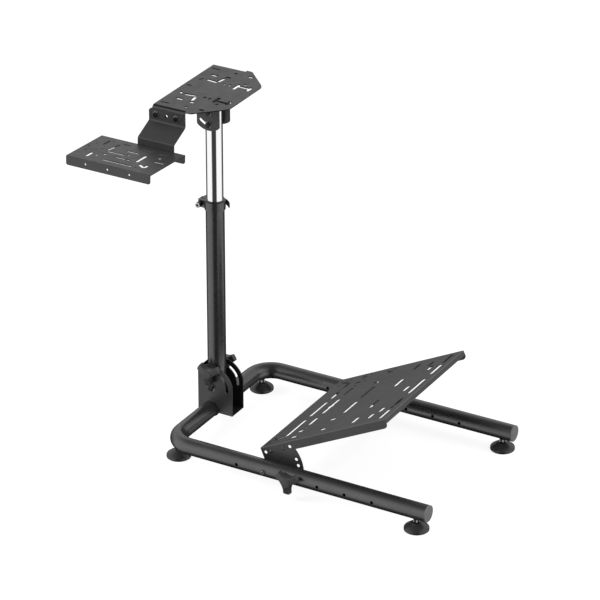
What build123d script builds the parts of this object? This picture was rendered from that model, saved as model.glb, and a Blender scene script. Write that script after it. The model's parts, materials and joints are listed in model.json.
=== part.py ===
"""Folding stand that holds a racing wheel, its pedals and a shifter.

Frame: millimetres, +Z up from the floor, +X forward (the way the driver faces), +Y to the driver's left.
The origin is on the floor, in the middle of the stand's footprint.
Heights are from the floor. Places along X and Y are measured from the mast's axis.
"""
from build123d import *
from math import cos, radians, sin, sqrt
import os

os.makedirs("parts", exist_ok=True)

# Base: one round tube bent into a U, legs forward
tube_od = 45.0
tube_wall = 2.0
leg_spacing = 485.0
leg_reach = 770.0
bend_radius = 60.0
tube_height = 55.0
leg_hole = 9.0
leg_hole_first = 216.0
leg_hole_pitch = 80.0
leg_hole_count = 6
cap_face = 4.0
cap_plug = 18.0
slip = 0.1

# Levelling feet
foot_rim = 66.0
foot_rim_height = 9.0
foot_neck = 28.0
foot_height = 22.0
foot_stud = 10.0
foot_nut = 17.0
foot_nut_height = 8.0
foot_socket = 8.0
front_foot_back = 35.0
rear_foot_angle = 35.0

# Folded bracket on the crossbar that carries the mast
bracket_width = 60.0
bracket_sheet = 3.5
bracket_back = 43.0
bracket_front = 64.0
bracket_low = 11.0
bracket_arc = 66.0
pivot_rise = 61.0
pivot_bolt = 10.0
bolt_clear = 0.5
mast_lock_radius = 48.0
mast_lock_bolt = 8.0
mast_slot_sweep = 93.0

# Mast: black lower tube, chromed upper tube sliding in it
lower_od = 50.0
lower_wall = 1.5
lower_tail = 20.0
mast_rise = 602.0
chrome_od = 45.0
chrome_wall = 1.5
chrome_inside = 300.0
chrome_tail = 18.0
bush_length = 40.0
bush_lip = 3.0
collar_od = 56.0
collar_height = 25.0
collar_slit = 4.0
ear_reach = 46.0
ear_width = 24.0
ear_height = 21.0
skewer_x = 38.0
skewer_d = 6.0
skewer_nut = 15.0
skewer_nut_length = 15.0
cam_od = 18.0
cam_pin = 5.0
lever_width = 5.0
lever_height = 14.0
lever_bend = 4.0
lever_droop = 9.5
ear_drop = 2.0

# Head: tilting bracket on top of the chromed tube
head_rise = 859.0
head_width = 56.0
head_sheet = 3.5
head_back = 35.0
head_front = 32.0
head_arc = 50.0
head_lock_radius = 33.5
head_bolt = 8.0
head_travel = 45.0

# Wheel plate
wheel_rise = 52.0
wheel_sheet = 3.0
wheel_width = 311.0
wheel_back = 89.5
wheel_front = 95.5
wheel_end_front = 24.0
wheel_flange = 34.0
wheel_flange_short = 16.0
wheel_bend = 10.0
wheel_slot = 9.5
wheel_slot_narrow = 5.0
arm_hole_z = 22.0
arm_hole_x = -45.5
arm_hole_pitch = 61.0
plate_hole = 9.0

# Arm down to the shifter plate
arm_sheet = 4.0
arm_width = 107.0
arm_x = -43.5
arm_top = 8.0
arm_bend_rise = 41.0
arm_slope_out = 55.5
arm_slope_down = 27.0
arm_lower = 37.0
arm_bend_radius = 6.0
arm_corner = 8.0

# Shifter plate
shift_sheet = 2.5
shift_length = 249.0
shift_x = -79.5
shift_width = 168.5
shift_flange = 25.0
shift_roll = 3.2
shift_drop = 18.5
shift_hole_pitch = 65.0
shift_hole_x = -81.5
shift_outer_hole = 5.5
shift_slot = 8.5
shift_slot_narrow = 6.5
shift_hole_small = 5.0

# Pedal plate, tilted up on two quadrants between the legs
pedal_tilt = 26.7
pedal_sheet = 1.5
pedal_gap = 2.5
pedal_length = 408.0
pedal_low = 14.0
pedal_rise = 51.0
pedal_flange = 25.0
pedal_lip = 13.0
pedal_slot = 11.0
pedal_hole = 7.0
pedal_slot_rows = (43.0, 85.0, 179.0, 270.0, 368.0)
pedal_centre_length = 92.0
pedal_cross_length = 18.0
pedal_short_length = 32.0
quadrant_radius = 94.5
quadrant_boss = 17.0
quadrant_low_angle = 7.0
quadrant_corner = 5.0
quadrant_step = 12.75
fixing_drop = 15.0
fixing_first = 15.0
fixing_second = 55.0
fixing_bolt = 8.0
fixing_screw = 5.0
fixing_hole_near = -3.0
fixing_hole_far = 77.0
pedal_head = 14.0
pedal_bolt = 10.0

# Three-lobed clamping knobs
knob_tip = 34.5
knob_lobe = 10.0
knob_hub = 13.0
knob_boss = 10.0
knob_thick = 16.0
knob_gap = 0.3
hex_ratio = 0.65

# Derived places
half_spacing = leg_spacing / 2
leg_tube = leg_reach - cap_face
tube_in = tube_od / 2 - tube_wall
pivot_z = tube_height + pivot_rise
mast_top = tube_height + mast_rise
head_z = tube_height + head_rise
wheel_top = head_z + wheel_rise
wheel_under = wheel_top - wheel_sheet
wheel_half = wheel_width / 2
arm_face = wheel_half + arm_sheet
pedal_pivot_x = leg_hole_first + leg_hole_pitch
pedal_lock_x = pedal_pivot_x + leg_hole_pitch
roll_sin = sin(radians(shift_roll))
roll_cos = cos(radians(shift_roll))
arm_low_y = arm_face + arm_slope_out
arm_low_z = wheel_top - arm_bend_rise - arm_slope_down
shift_edge_y = arm_low_y + shift_drop * roll_sin
shift_edge_z = arm_low_z - shift_drop * roll_cos
knob_reach = half_spacing + tube_od / 2 + knob_gap + knob_boss + knob_thick
right_reach = shift_edge_y + shift_width * roll_cos + shift_flange * roll_sin
mast_x = -(leg_reach + shift_x - shift_length / 2) / 2
mast_y = (right_reach - knob_reach) / 2
tilt_sin = sin(radians(pedal_tilt))
tilt_cos = cos(radians(pedal_tilt))
sides = ((-1, "right"), (1, "left"))


def level(x, y, z):
    """A level plane at a point measured from the mast's axis and the floor."""
    return Plane(origin=(mast_x + x, mast_y + y, z))


def upright(x, y, z):
    """An upright plane along X that faces the driver's right, so it extrudes towards -Y."""
    return Plane(origin=(mast_x + x, mast_y + y, z), x_dir=(1, 0, 0), z_dir=(0, -1, 0))


def beside(y):
    """The upright plane through the pedal pivot, turned so that its x runs up the pedal plate."""
    origin = (mast_x + pedal_pivot_x, mast_y + y, tube_height)
    return Plane(origin=origin, x_dir=(tilt_cos, 0, tilt_sin), z_dir=(0, -1, 0))


def over_pedals(w):
    """A plane parallel to the pedal plate, w above the pedal pivot."""
    origin = (mast_x + pedal_pivot_x - w * tilt_sin, mast_y, tube_height + w * tilt_cos)
    return Plane(origin=origin, x_dir=(tilt_cos, 0, tilt_sin), z_dir=(-tilt_sin, 0, tilt_cos))


def over_shifter(v, w):
    """A plane parallel to the shifter plate, v out from the edge on the arm and w above its top."""
    y = -shift_edge_y - v * roll_cos + w * roll_sin
    z = shift_edge_z + v * roll_sin + w * roll_cos
    return Plane(origin=(mast_x, mast_y + y, z), x_dir=(1, 0, 0), z_dir=(0, roll_sin, roll_cos))


def shifter_side(v, w):
    """A plane square to the shifter plate and along X, v out from the edge on the arm."""
    y = -shift_edge_y - v * roll_cos + w * roll_sin
    z = shift_edge_z + v * roll_sin + w * roll_cos
    return Plane(origin=(mast_x, mast_y + y, z), x_dir=(1, 0, 0), z_dir=(0, -roll_cos, roll_sin))


def hex_bolt(plane, shank, length, nut_at):
    """A hex bolt along the plane's normal: head outside the plane, shank going back, nut on the shank."""
    head = shank * hex_ratio
    with BuildPart() as bolt:
        with BuildSketch(plane):
            RegularPolygon(radius=shank * 0.85, side_count=6, major_radius=False)
        extrude(amount=head)
        with BuildSketch(plane):
            Circle(shank / 2)
        extrude(amount=-length)
        with BuildSketch(plane.offset(-nut_at)):
            RegularPolygon(radius=shank * 0.85, side_count=6, major_radius=False)
        extrude(amount=-head)
    return bolt


def lobed_knob(plane, bore):
    """A three-lobed knob that stands out along the plane's normal, one lobe pointing down."""
    with BuildPart() as knob:
        with BuildSketch(plane):
            Circle(knob_hub)
        extrude(amount=knob_boss)
        with BuildSketch(plane.offset(knob_boss)) as lobes:
            with PolarLocations(0, 3, start_angle=-90):
                with Locations((knob_tip / 2 - knob_lobe / 2, 0)):
                    SlotCenterToCenter(knob_tip - knob_lobe, 2 * knob_lobe)
            fillet(lobes.vertices().sort_by_distance((0, 0, 0))[:3], radius=knob_lobe)
        extrude(amount=knob_thick)
        fillet(knob.faces().sort_by(Axis(plane.origin, plane.z_dir))[-1].edges(), radius=2.5)
        with BuildSketch(plane):
            Circle(bore / 2 + slip)
        extrude(amount=knob_boss + knob_thick / 2, mode=Mode.SUBTRACT)
    return knob


# The U-shaped base, with the row of cross holes in both legs and the holes for the feet
rear_x = bend_radius - bend_radius * cos(radians(rear_foot_angle))
rear_y = half_spacing - bend_radius + bend_radius * sin(radians(rear_foot_angle))
front_x = leg_reach - front_foot_back
feet = {
    "rear_right": (rear_x, -rear_y),
    "rear_left": (rear_x, rear_y),
    "front_right": (front_x, -half_spacing),
    "front_left": (front_x, half_spacing),
}
leg_hole_places = [(leg_hole_first + i * leg_hole_pitch, 0) for i in range(leg_hole_count)]
base_plane = level(0, 0, tube_height)

with BuildPart() as base_frame:
    with BuildLine(base_plane) as base_path:
        Polyline((leg_tube, -half_spacing), (0, -half_spacing), (0, half_spacing), (leg_tube, half_spacing))
        fillet(base_path.vertices().group_by(Axis.X)[0], radius=bend_radius)
    with BuildSketch(Plane(origin=base_path.line @ 0, z_dir=base_path.line % 0)):
        Circle(tube_od / 2)
        Circle(tube_in, mode=Mode.SUBTRACT)
    sweep()
    with BuildSketch(upright(0, -leg_spacing, tube_height)):
        with Locations(*leg_hole_places):
            Circle(leg_hole / 2)
    extrude(amount=-2 * leg_spacing, mode=Mode.SUBTRACT)
    with BuildSketch(base_plane):
        with Locations(*feet.values()):
            Circle(foot_stud / 2 + slip)
    extrude(amount=-tube_od, mode=Mode.SUBTRACT)
base_frame.part.label = "base_frame"
export_step(base_frame.part, "parts/base_frame.step")

# Plastic caps pressed into the leg ends
for side, name in sides:
    cap_centre = (mast_x + leg_tube, mast_y + side * half_spacing, tube_height)
    cap_plane = Plane(origin=cap_centre, x_dir=(0, 1, 0), z_dir=(1, 0, 0))
    with BuildPart() as leg_cap:
        with BuildSketch(cap_plane):
            Circle(tube_od / 2)
        extrude(amount=cap_face)
        fillet(leg_cap.edges().group_by(Axis.X)[-1], radius=1.5)
        with BuildSketch(cap_plane):
            Circle(tube_in - slip)
            Circle(tube_in - slip - 2.5, mode=Mode.SUBTRACT)
        extrude(amount=-cap_plug)
    leg_cap.part.label = f"leg_cap_{name}"
    export_step(leg_cap.part, f"parts/leg_cap_{name}.step")

# Levelling feet: a coned pad on a threaded stud with a lock nut under the tube
foot_nut_top = tube_height - tube_od / 2 - slip
for place, (x, y) in feet.items():
    with BuildPart() as foot_pad:
        with BuildSketch(upright(x, y, 0)):
            with BuildLine():
                Polyline(
                    (0, 0),
                    (foot_rim / 2, 0),
                    (foot_rim / 2, foot_rim_height),
                    (foot_neck / 2, foot_height),
                    (0, foot_height),
                    close=True,
                )
            make_face()
        revolve(axis=Axis((mast_x + x, mast_y + y, 0), (0, 0, 1)))
        fillet(foot_pad.edges().filter_by(GeomType.CIRCLE).group_by(Axis.Z)[1], radius=2.5)
        with BuildSketch(level(x, y, foot_socket)):
            Circle(foot_stud / 2 + slip)
        extrude(amount=foot_height, mode=Mode.SUBTRACT)
    foot_pad.part.label = f"foot_pad_{place}"
    export_step(foot_pad.part, f"parts/foot_pad_{place}.step")

    with BuildPart() as foot_stem:
        with BuildSketch(level(x, y, foot_socket)):
            Circle(foot_stud / 2)
        extrude(amount=tube_height - foot_socket - tube_in + 8)
        with BuildSketch(level(x, y, foot_nut_top - foot_nut_height)):
            RegularPolygon(radius=foot_nut / 2, side_count=6, major_radius=False)
        extrude(amount=foot_nut_height)
    foot_stem.part.label = f"foot_stem_{place}"
    export_step(foot_stem.part, f"parts/foot_stem_{place}.step")

# Mast bracket: folded sheet round the crossbar, open to the front, with a curved slot in each cheek
bracket_side = upright(0, -bracket_width / 2, tube_height)
bracket_front_z = pivot_rise + sqrt(bracket_arc**2 - bracket_front**2)
bracket_back_z = pivot_rise + sqrt(bracket_arc**2 - bracket_back**2)
with BuildPart() as mast_bracket:
    with BuildSketch(bracket_side):
        with BuildLine():
            Polyline(
                (-bracket_back, bracket_back_z),
                (-bracket_back, -bracket_low),
                (bracket_front, -bracket_low),
                (bracket_front, bracket_front_z),
            )
            ThreePointArc(
                (bracket_front, bracket_front_z),
                (0, pivot_rise + bracket_arc),
                (-bracket_back, bracket_back_z),
            )
        make_face()
    extrude(amount=-bracket_width)
    fillet(mast_bracket.edges().filter_by(Axis.Z).group_by(Axis.X)[0], radius=bracket_sheet)
    with BuildSketch(bracket_side.offset(-bracket_sheet)):
        with Locations((-bracket_back + bracket_sheet, -bracket_low + bracket_sheet)):
            Rectangle(2 * bracket_arc, 3 * bracket_arc, align=Align.MIN)
    extrude(amount=-(bracket_width - 2 * bracket_sheet), mode=Mode.SUBTRACT)
    with BuildSketch(bracket_side):
        Circle(tube_od / 2 + slip)
        with Locations((0, pivot_rise)):
            Circle((pivot_bolt + bolt_clear) / 2)
        with BuildLine():
            CenterArc((0, pivot_rise), mast_lock_radius, 90 - mast_slot_sweep, mast_slot_sweep)
            offset(amount=mast_lock_bolt / 2 + bolt_clear)
        make_face()
    extrude(amount=-bracket_width, mode=Mode.SUBTRACT)
mast_bracket.part.label = "mast_bracket"
export_step(mast_bracket.part, "parts/mast_bracket.step")

mast_pivot_bolt = hex_bolt(
    upright(0, -bracket_width / 2, pivot_z), pivot_bolt, bracket_width + pivot_bolt, bracket_width
)
mast_pivot_bolt.part.label = "mast_pivot_bolt"
export_step(mast_pivot_bolt.part, "parts/mast_pivot_bolt.step")

# Lock bolt through the mast and both curved slots, with a knob screwed on each end
lock_half = bracket_width / 2 + knob_gap + knob_boss
with BuildPart() as mast_lock:
    with BuildSketch(upright(0, -lock_half, pivot_z + mast_lock_radius)):
        Circle(mast_lock_bolt / 2)
    extrude(amount=-2 * lock_half)
mast_lock.part.label = "mast_lock_bolt"
export_step(mast_lock.part, "parts/mast_lock_bolt.step")

for side, name in sides:
    knob_plane = Plane(
        origin=(mast_x, mast_y + side * (bracket_width / 2 + knob_gap), pivot_z + mast_lock_radius),
        x_dir=(-side, 0, 0),
        z_dir=(0, side, 0),
    )
    mast_knob = lobed_knob(knob_plane, mast_lock_bolt)
    mast_knob.part.label = f"mast_knob_{name}"
    export_step(mast_knob.part, f"parts/mast_knob_{name}.step")

# Lower tube
lower_in = lower_od / 2 - lower_wall
with BuildPart() as lower_tube:
    with BuildSketch(level(0, 0, pivot_z - lower_tail)):
        Circle(lower_od / 2)
        Circle(lower_in, mode=Mode.SUBTRACT)
    extrude(amount=mast_top - pivot_z + lower_tail)
    with BuildSketch(upright(0, -lower_od, pivot_z)):
        Circle((pivot_bolt + bolt_clear) / 2)
        with Locations((0, mast_lock_radius)):
            Circle(mast_lock_bolt / 2 + slip)
    extrude(amount=-2 * lower_od, mode=Mode.SUBTRACT)
lower_tube.part.label = "lower_tube"
export_step(lower_tube.part, "parts/lower_tube.step")

# Plastic guide bush in the top of the lower tube
with BuildPart() as guide_bush:
    with BuildSketch(level(0, 0, mast_top - bush_length)):
        Circle(lower_in - slip)
    extrude(amount=bush_length)
    with BuildSketch(level(0, 0, mast_top)):
        Circle(lower_od / 2)
    extrude(amount=bush_lip)
    chamfer(guide_bush.edges().group_by(Axis.Z)[-1], length=1)
    with BuildSketch(level(0, 0, mast_top - bush_length)):
        Circle(chrome_od / 2 + slip)
    extrude(amount=bush_length + bush_lip, mode=Mode.SUBTRACT)
guide_bush.part.label = "guide_bush"
export_step(guide_bush.part, "parts/guide_bush.step")

# Split clamp collar with two ears, its cross pin and the quick-release lever
collar_base = mast_top - collar_height
collar_mid = mast_top - collar_height / 2 - ear_drop
with BuildPart() as clamp_collar:
    with BuildSketch(level(0, 0, collar_base)):
        Circle(collar_od / 2)
    extrude(amount=collar_height)
    with BuildSketch(level(0, 0, collar_mid - ear_height / 2)):
        with Locations((-ear_reach / 2, 0)):
            RectangleRounded(ear_reach, ear_width, 4)
    extrude(amount=ear_height)
    with BuildSketch(level(0, 0, collar_base)):
        Circle(lower_od / 2 + slip)
        with Locations((-ear_reach / 2, 0)):
            Rectangle(2 * ear_reach / 2 + 2, collar_slit)
    extrude(amount=collar_height, mode=Mode.SUBTRACT)
    with BuildSketch(upright(-skewer_x, -ear_width, collar_mid)):
        Circle(skewer_d / 2 + slip)
    extrude(amount=-2 * ear_width, mode=Mode.SUBTRACT)
clamp_collar.part.label = "clamp_collar"
export_step(clamp_collar.part, "parts/clamp_collar.step")

cam_y = ear_width / 2 + knob_gap + cam_od / 2
cam_height = lever_height
with BuildPart() as clamp_pin:
    with BuildSketch(upright(-skewer_x, -ear_width / 2 - skewer_nut_length, collar_mid)):
        Circle(skewer_d / 2)
    extrude(amount=-(ear_width / 2 + skewer_nut_length + cam_y))
    with BuildSketch(upright(-skewer_x, -ear_width / 2, collar_mid)):
        Circle(skewer_nut / 2)
    extrude(amount=skewer_nut_length)
    with BuildSketch(level(-skewer_x, cam_y, collar_mid - cam_height / 2)):
        Circle(cam_pin / 2)
    extrude(amount=cam_height)
clamp_pin.part.label = "clamp_pin"
export_step(clamp_pin.part, "parts/clamp_pin.step")

lever_in = collar_od / 2 + 4
lever_end = lever_in + 2
with BuildPart() as clamp_lever:
    with BuildSketch(level(0, 0, collar_mid)):
        with BuildLine():
            Spline(
                (-skewer_x, cam_y + cam_od / 4),
                (-lever_in * cos(radians(58)), lever_in * sin(radians(58)) + 3),
                (lever_in * cos(radians(80)), lever_in * sin(radians(80)) + 2),
                (lever_in * cos(radians(38)) + 4, lever_in * sin(radians(38)) + 5),
            )
        trace(line_width=lever_width)
    extrude(amount=lever_height, both=True)
    with BuildSketch(upright(0, -collar_od, collar_mid)):
        with BuildLine():
            Polyline(
                (lever_bend, -lever_height / 2),
                (-skewer_x - cam_od, -lever_height / 2),
                (-skewer_x - cam_od, lever_height / 2),
                (lever_bend, lever_height / 2),
            )
            for edge in (lever_height / 2, -lever_height / 2):
                TangentArc((lever_bend, edge), (lever_end, edge - lever_droop), tangent=(1, 0))
            Line((lever_end, lever_height / 2 - lever_droop), (lever_end, -lever_height / 2 - lever_droop))
        make_face()
    extrude(amount=-3 * collar_od, mode=Mode.INTERSECT)
    with BuildSketch(level(-skewer_x, cam_y, collar_mid - cam_height / 2)):
        Circle(cam_od / 2)
    extrude(amount=cam_height)
    with BuildSketch(level(-skewer_x, cam_y, collar_mid - cam_height / 2)):
        Circle(cam_pin / 2 + slip / 2)
    extrude(amount=cam_height, mode=Mode.SUBTRACT)
    with BuildSketch(level(-skewer_x, cam_y, collar_mid - skewer_d / 2 - bolt_clear)):
        with Locations((skewer_d / 2 + bolt_clear, 0)):
            Rectangle(cam_od, 2 * cam_od, align=(Align.MAX, Align.CENTER))
    extrude(amount=skewer_d + 2 * bolt_clear, mode=Mode.SUBTRACT)
clamp_lever.part.label = "clamp_lever"
export_step(clamp_lever.part, "parts/clamp_lever.step")

# Chromed upper tube
with BuildPart() as chrome_tube:
    with BuildSketch(level(0, 0, mast_top - chrome_inside)):
        Circle(chrome_od / 2)
        Circle(chrome_od / 2 - chrome_wall, mode=Mode.SUBTRACT)
    extrude(amount=head_z + chrome_tail - mast_top + chrome_inside)
    with BuildSketch(upright(0, -chrome_od, head_z)):
        with Locations((0, 0), (0, -head_lock_radius)):
            Circle(head_bolt / 2 + slip)
    extrude(amount=-2 * chrome_od, mode=Mode.SUBTRACT)
chrome_tube.part.label = "chrome_tube"
export_step(chrome_tube.part, "parts/chrome_tube.step")

# Head bracket: an upturned U of sheet under the wheel plate, with curved slots for the tilt lock
head_side = upright(0, -head_width / 2, head_z)
head_height = wheel_rise - wheel_sheet
head_back_z = -sqrt(head_arc**2 - head_back**2)
head_front_z = -sqrt(head_arc**2 - head_front**2)
with BuildPart() as head_bracket:
    with BuildSketch(head_side) as head_outline:
        with BuildLine():
            Polyline(
                (-head_back, head_back_z),
                (-head_back, head_height),
                (head_front, head_height),
                (head_front, head_front_z),
            )
            ThreePointArc((head_front, head_front_z), (0, -head_arc), (-head_back, head_back_z))
        make_face()
        fillet(head_outline.vertices().sort_by(Axis.Y)[:2], radius=9)
    extrude(amount=-head_width)
    with BuildSketch(head_side.offset(-head_sheet)):
        with Locations((0, head_height - head_sheet)):
            Rectangle(4 * head_arc, 4 * head_arc, align=(Align.CENTER, Align.MAX))
    extrude(amount=-(head_width - 2 * head_sheet), mode=Mode.SUBTRACT)
    with BuildSketch(head_side):
        Circle(head_bolt / 2 + bolt_clear / 2)
        with BuildLine():
            CenterArc((0, 0), head_lock_radius, 270 - head_travel, head_travel)
            offset(amount=head_bolt / 2 + bolt_clear)
        make_face()
    extrude(amount=-head_width, mode=Mode.SUBTRACT)
head_bracket.part.label = "head_bracket"
export_step(head_bracket.part, "parts/head_bracket.step")

for name, drop in (("pivot", 0), ("lock", head_lock_radius)):
    head_face = upright(0, -head_width / 2 - slip, head_z - drop)
    head_screw = hex_bolt(head_face, head_bolt, head_width + head_bolt, head_width + 2 * slip)
    head_screw.part.label = f"head_{name}_bolt"
    export_step(head_screw.part, f"parts/head_{name}_bolt.step")

# Wheel plate: flat sheet with cut corners, end flanges and mirrored groups of clamp slots
arm_holes = [(arm_hole_x + i * arm_hole_pitch / 2, -arm_hole_z) for i in (-1, 0, 1)]
wheel_corner = wheel_half - (wheel_front - wheel_end_front)
wheel_flange_length = wheel_back + wheel_end_front - wheel_flange_short
with BuildPart() as wheel_plate:
    with BuildSketch(level(0, 0, wheel_under)) as wheel_outline:
        with BuildLine():
            Polyline(
                (-wheel_back, -wheel_half),
                (wheel_end_front, -wheel_half),
                (wheel_front, -wheel_corner),
                (wheel_front, wheel_corner),
                (wheel_end_front, wheel_half),
                (-wheel_back, wheel_half),
                close=True,
            )
        make_face()
        fillet(wheel_outline.vertices().group_by(Axis.X)[1], radius=14)
        fillet(wheel_outline.vertices().group_by(Axis.X)[-1], radius=30)
        with Locations((-wheel_back, wheel_half - wheel_bend), (-wheel_back, -wheel_half)):
            Rectangle(wheel_flange_length, wheel_bend, align=Align.MIN, mode=Mode.SUBTRACT)
    extrude(amount=wheel_sheet)
    for side, name in sides:
        bend_centre = (mast_x - wheel_back, mast_y + side * (wheel_half - wheel_bend), wheel_top - wheel_bend)
        with BuildSketch(Plane(origin=bend_centre, x_dir=(0, side, 0), z_dir=(side, 0, 0))):
            Circle(wheel_bend)
            Circle(wheel_bend - wheel_sheet, mode=Mode.SUBTRACT)
            Rectangle(wheel_bend, wheel_bend, align=Align.MIN, mode=Mode.INTERSECT)
        extrude(amount=side * wheel_flange_length)
        with BuildSketch(upright(0, side * wheel_half, wheel_top)) as flange_outline:
            with Locations((-wheel_back, -wheel_flange)):
                Rectangle(wheel_flange_length, wheel_flange - wheel_bend, align=Align.MIN)
            fillet(flange_outline.vertices().group_by(Axis.Y)[0], radius=6)
            with Locations(*arm_holes):
                Circle(plate_hole / 2, mode=Mode.SUBTRACT)
        extrude(amount=side * wheel_sheet)
    with BuildSketch(level(0, 0, wheel_under)):
        for side, name in sides:
            for x, y, length, width, turn in (
                (-69, 126, 26, wheel_slot_narrow, 0),
                (-49, 87, 22, wheel_slot, 0),
                (-10, 91, 16, wheel_slot, 0),
                (38, 123, 16, wheel_slot, 0),
                (-67, 50, 14, wheel_slot_narrow, 55),
                (18, 50, 14, wheel_slot_narrow, 90),
                (-18, 69, 28, wheel_slot, 80),
                (-37, 53, 36, wheel_slot, -8),
                (38, 50, 36, wheel_slot, 90),
                (56, 55, 40, wheel_slot, 0),
                (75, 52, 26, wheel_slot, 90),
            ):
                with Locations(Location((x, side * y, 0), (0, 0, side * turn))):
                    SlotOverall(length, width)
            with Locations((-7, side * 124), (52, side * 72), (3, side * 49)):
                Circle(plate_hole / 2)
        with Locations((-73.5, 0)):
            SlotOverall(16, wheel_slot_narrow)
    extrude(amount=wheel_sheet, mode=Mode.SUBTRACT)
wheel_plate.part.label = "wheel_plate"
export_step(wheel_plate.part, "parts/wheel_plate.step")

# Arm: a Z-bent sheet from the wheel plate's right flange down to the shifter plate
arm_start = wheel_top - arm_top
shift_holes = [(shift_hole_x + i * shift_hole_pitch, -shift_flange / 2) for i in (-1, 0, 1)]
arm_end_y = arm_low_y + arm_lower * roll_sin
arm_end_z = arm_low_z - arm_lower * roll_cos
arm_edge = Plane(origin=(mast_x + arm_x - arm_width / 2, mast_y, 0), x_dir=(0, -1, 0), z_dir=(-1, 0, 0))
with BuildPart() as shifter_arm:
    with BuildSketch(arm_edge):
        with BuildLine() as arm_line:
            Polyline(
                (arm_face, arm_start),
                (arm_face, wheel_top - arm_bend_rise),
                (arm_low_y, arm_low_z),
                (arm_end_y, arm_end_z),
            )
            fillet(arm_line.vertices().sort_by(Axis.Y)[1:3], radius=arm_bend_radius)
            offset(amount=arm_sheet, side=Side.RIGHT)
        make_face()
    extrude(amount=-arm_width)
    fillet(shifter_arm.edges().filter_by(Axis.Y).group_by(Axis.Z)[-1], radius=arm_corner)
    with BuildSketch(upright(0, 0, wheel_top)):
        with Locations(*arm_holes):
            Circle(plate_hole / 2)
    extrude(amount=arm_low_y, mode=Mode.SUBTRACT)
    with BuildSketch(shifter_side(shift_sheet, 0)):
        with Locations(*shift_holes[1:]):
            Circle(plate_hole / 2)
    extrude(amount=-2 * arm_sheet - shift_sheet, mode=Mode.SUBTRACT)
shifter_arm.part.label = "shifter_arm"
export_step(shifter_arm.part, "parts/shifter_arm.step")

for i, name in ((0, "rear"), (2, "front")):
    arm_bolt = hex_bolt(
        upright(arm_holes[i][0], -arm_face, wheel_top - arm_hole_z),
        fixing_bolt,
        arm_sheet + wheel_sheet + fixing_bolt,
        arm_sheet + wheel_sheet,
    )
    arm_bolt.part.label = f"arm_bolt_{name}"
    export_step(arm_bolt.part, f"parts/arm_bolt_{name}.step")

# Shifter plate: flat sheet with two long flanges; the left one hangs on the arm
with BuildPart() as shifter_plate:
    with BuildSketch(over_shifter(0, -shift_sheet)):
        with Locations((shift_x, 0)):
            Rectangle(shift_length, shift_width, align=(Align.CENTER, Align.MAX))
    extrude(amount=shift_sheet)
    for v, inward, hole in ((0, 1, plate_hole), (shift_width, -1, shift_outer_hole)):
        with BuildSketch(shifter_side(v, 0)) as tray_flange:
            with Locations((shift_x, 0)):
                Rectangle(shift_length, shift_flange, align=(Align.CENTER, Align.MAX))
            fillet(tray_flange.vertices().group_by(Axis.Y)[0], radius=6)
            with Locations(*shift_holes):
                Circle(hole / 2, mode=Mode.SUBTRACT)
        extrude(amount=inward * shift_sheet)
    fillet(
        shifter_plate.edges().filter_by(Axis.X).filter_by(lambda e: e.length > shift_length - 1).sort_by(
            Axis((0, 0, 0), (0, roll_sin, roll_cos))
        )[-2:],
        radius=shift_sheet - 0.5,
    )
    with BuildSketch(over_shifter(0, -shift_sheet)):
        for x, v, length, width, turn in (
            (-74, 79, 10, shift_slot_narrow, 0),
            (-165, 38, 34, shift_slot_narrow, 90),
            (-133, 57, 48, shift_slot_narrow, 80),
            (-108, 86, 54, shift_slot_narrow, 0),
            (-74, 58, 38, shift_slot_narrow, 0),
            (-54, 29, 40, shift_slot_narrow, 0),
            (-160, 128, 32, shift_slot, 90),
            (-72, 141, 88, shift_slot_narrow, 0),
            (-80, 108, 32, shift_slot_narrow, 0),
            (-56, 109, 14, shift_slot_narrow, 0),
            (-33, 84, 50, shift_slot, 90),
            (-7, 125, 26, shift_slot, -35),
            (4, 122, 20, shift_slot, 90),
            (-2, 34, 34, shift_slot_narrow, 0),
            (18, 83, 32, shift_slot_narrow, 0),
            (-112, 24, 22, shift_slot_narrow, 0),
        ):
            with Locations(Location((x, -v, 0), (0, 0, turn))):
                SlotOverall(length, width)
        with Locations(
            (-185, -54), (-193, -80), (-186, -106), (-152, -23), (-152, -80), (-15, -141), (-26, -17)
        ):
            Circle(shift_hole_small / 2)
        with Locations((-142, -122), (-128, -106), (-32, -140), (4, -56)):
            Circle(plate_hole / 2)
    extrude(amount=shift_sheet, mode=Mode.SUBTRACT)
shifter_plate.part.label = "shifter_plate"
export_step(shifter_plate.part, "parts/shifter_plate.step")

for i, name in ((1, "rear"), (2, "front")):
    x, w = shift_holes[i]
    flange_face = shifter_side(shift_sheet, 0)
    shifter_bolt = hex_bolt(
        Plane(origin=flange_face.from_local_coords((x, w, 0)), x_dir=(1, 0, 0), z_dir=flange_face.z_dir),
        fixing_bolt,
        arm_sheet + shift_sheet + fixing_bolt,
        arm_sheet + shift_sheet,
    )
    shifter_bolt.part.label = f"shifter_bolt_{name}"
    export_step(shifter_bolt.part, f"parts/shifter_bolt_{name}.step")

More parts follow.
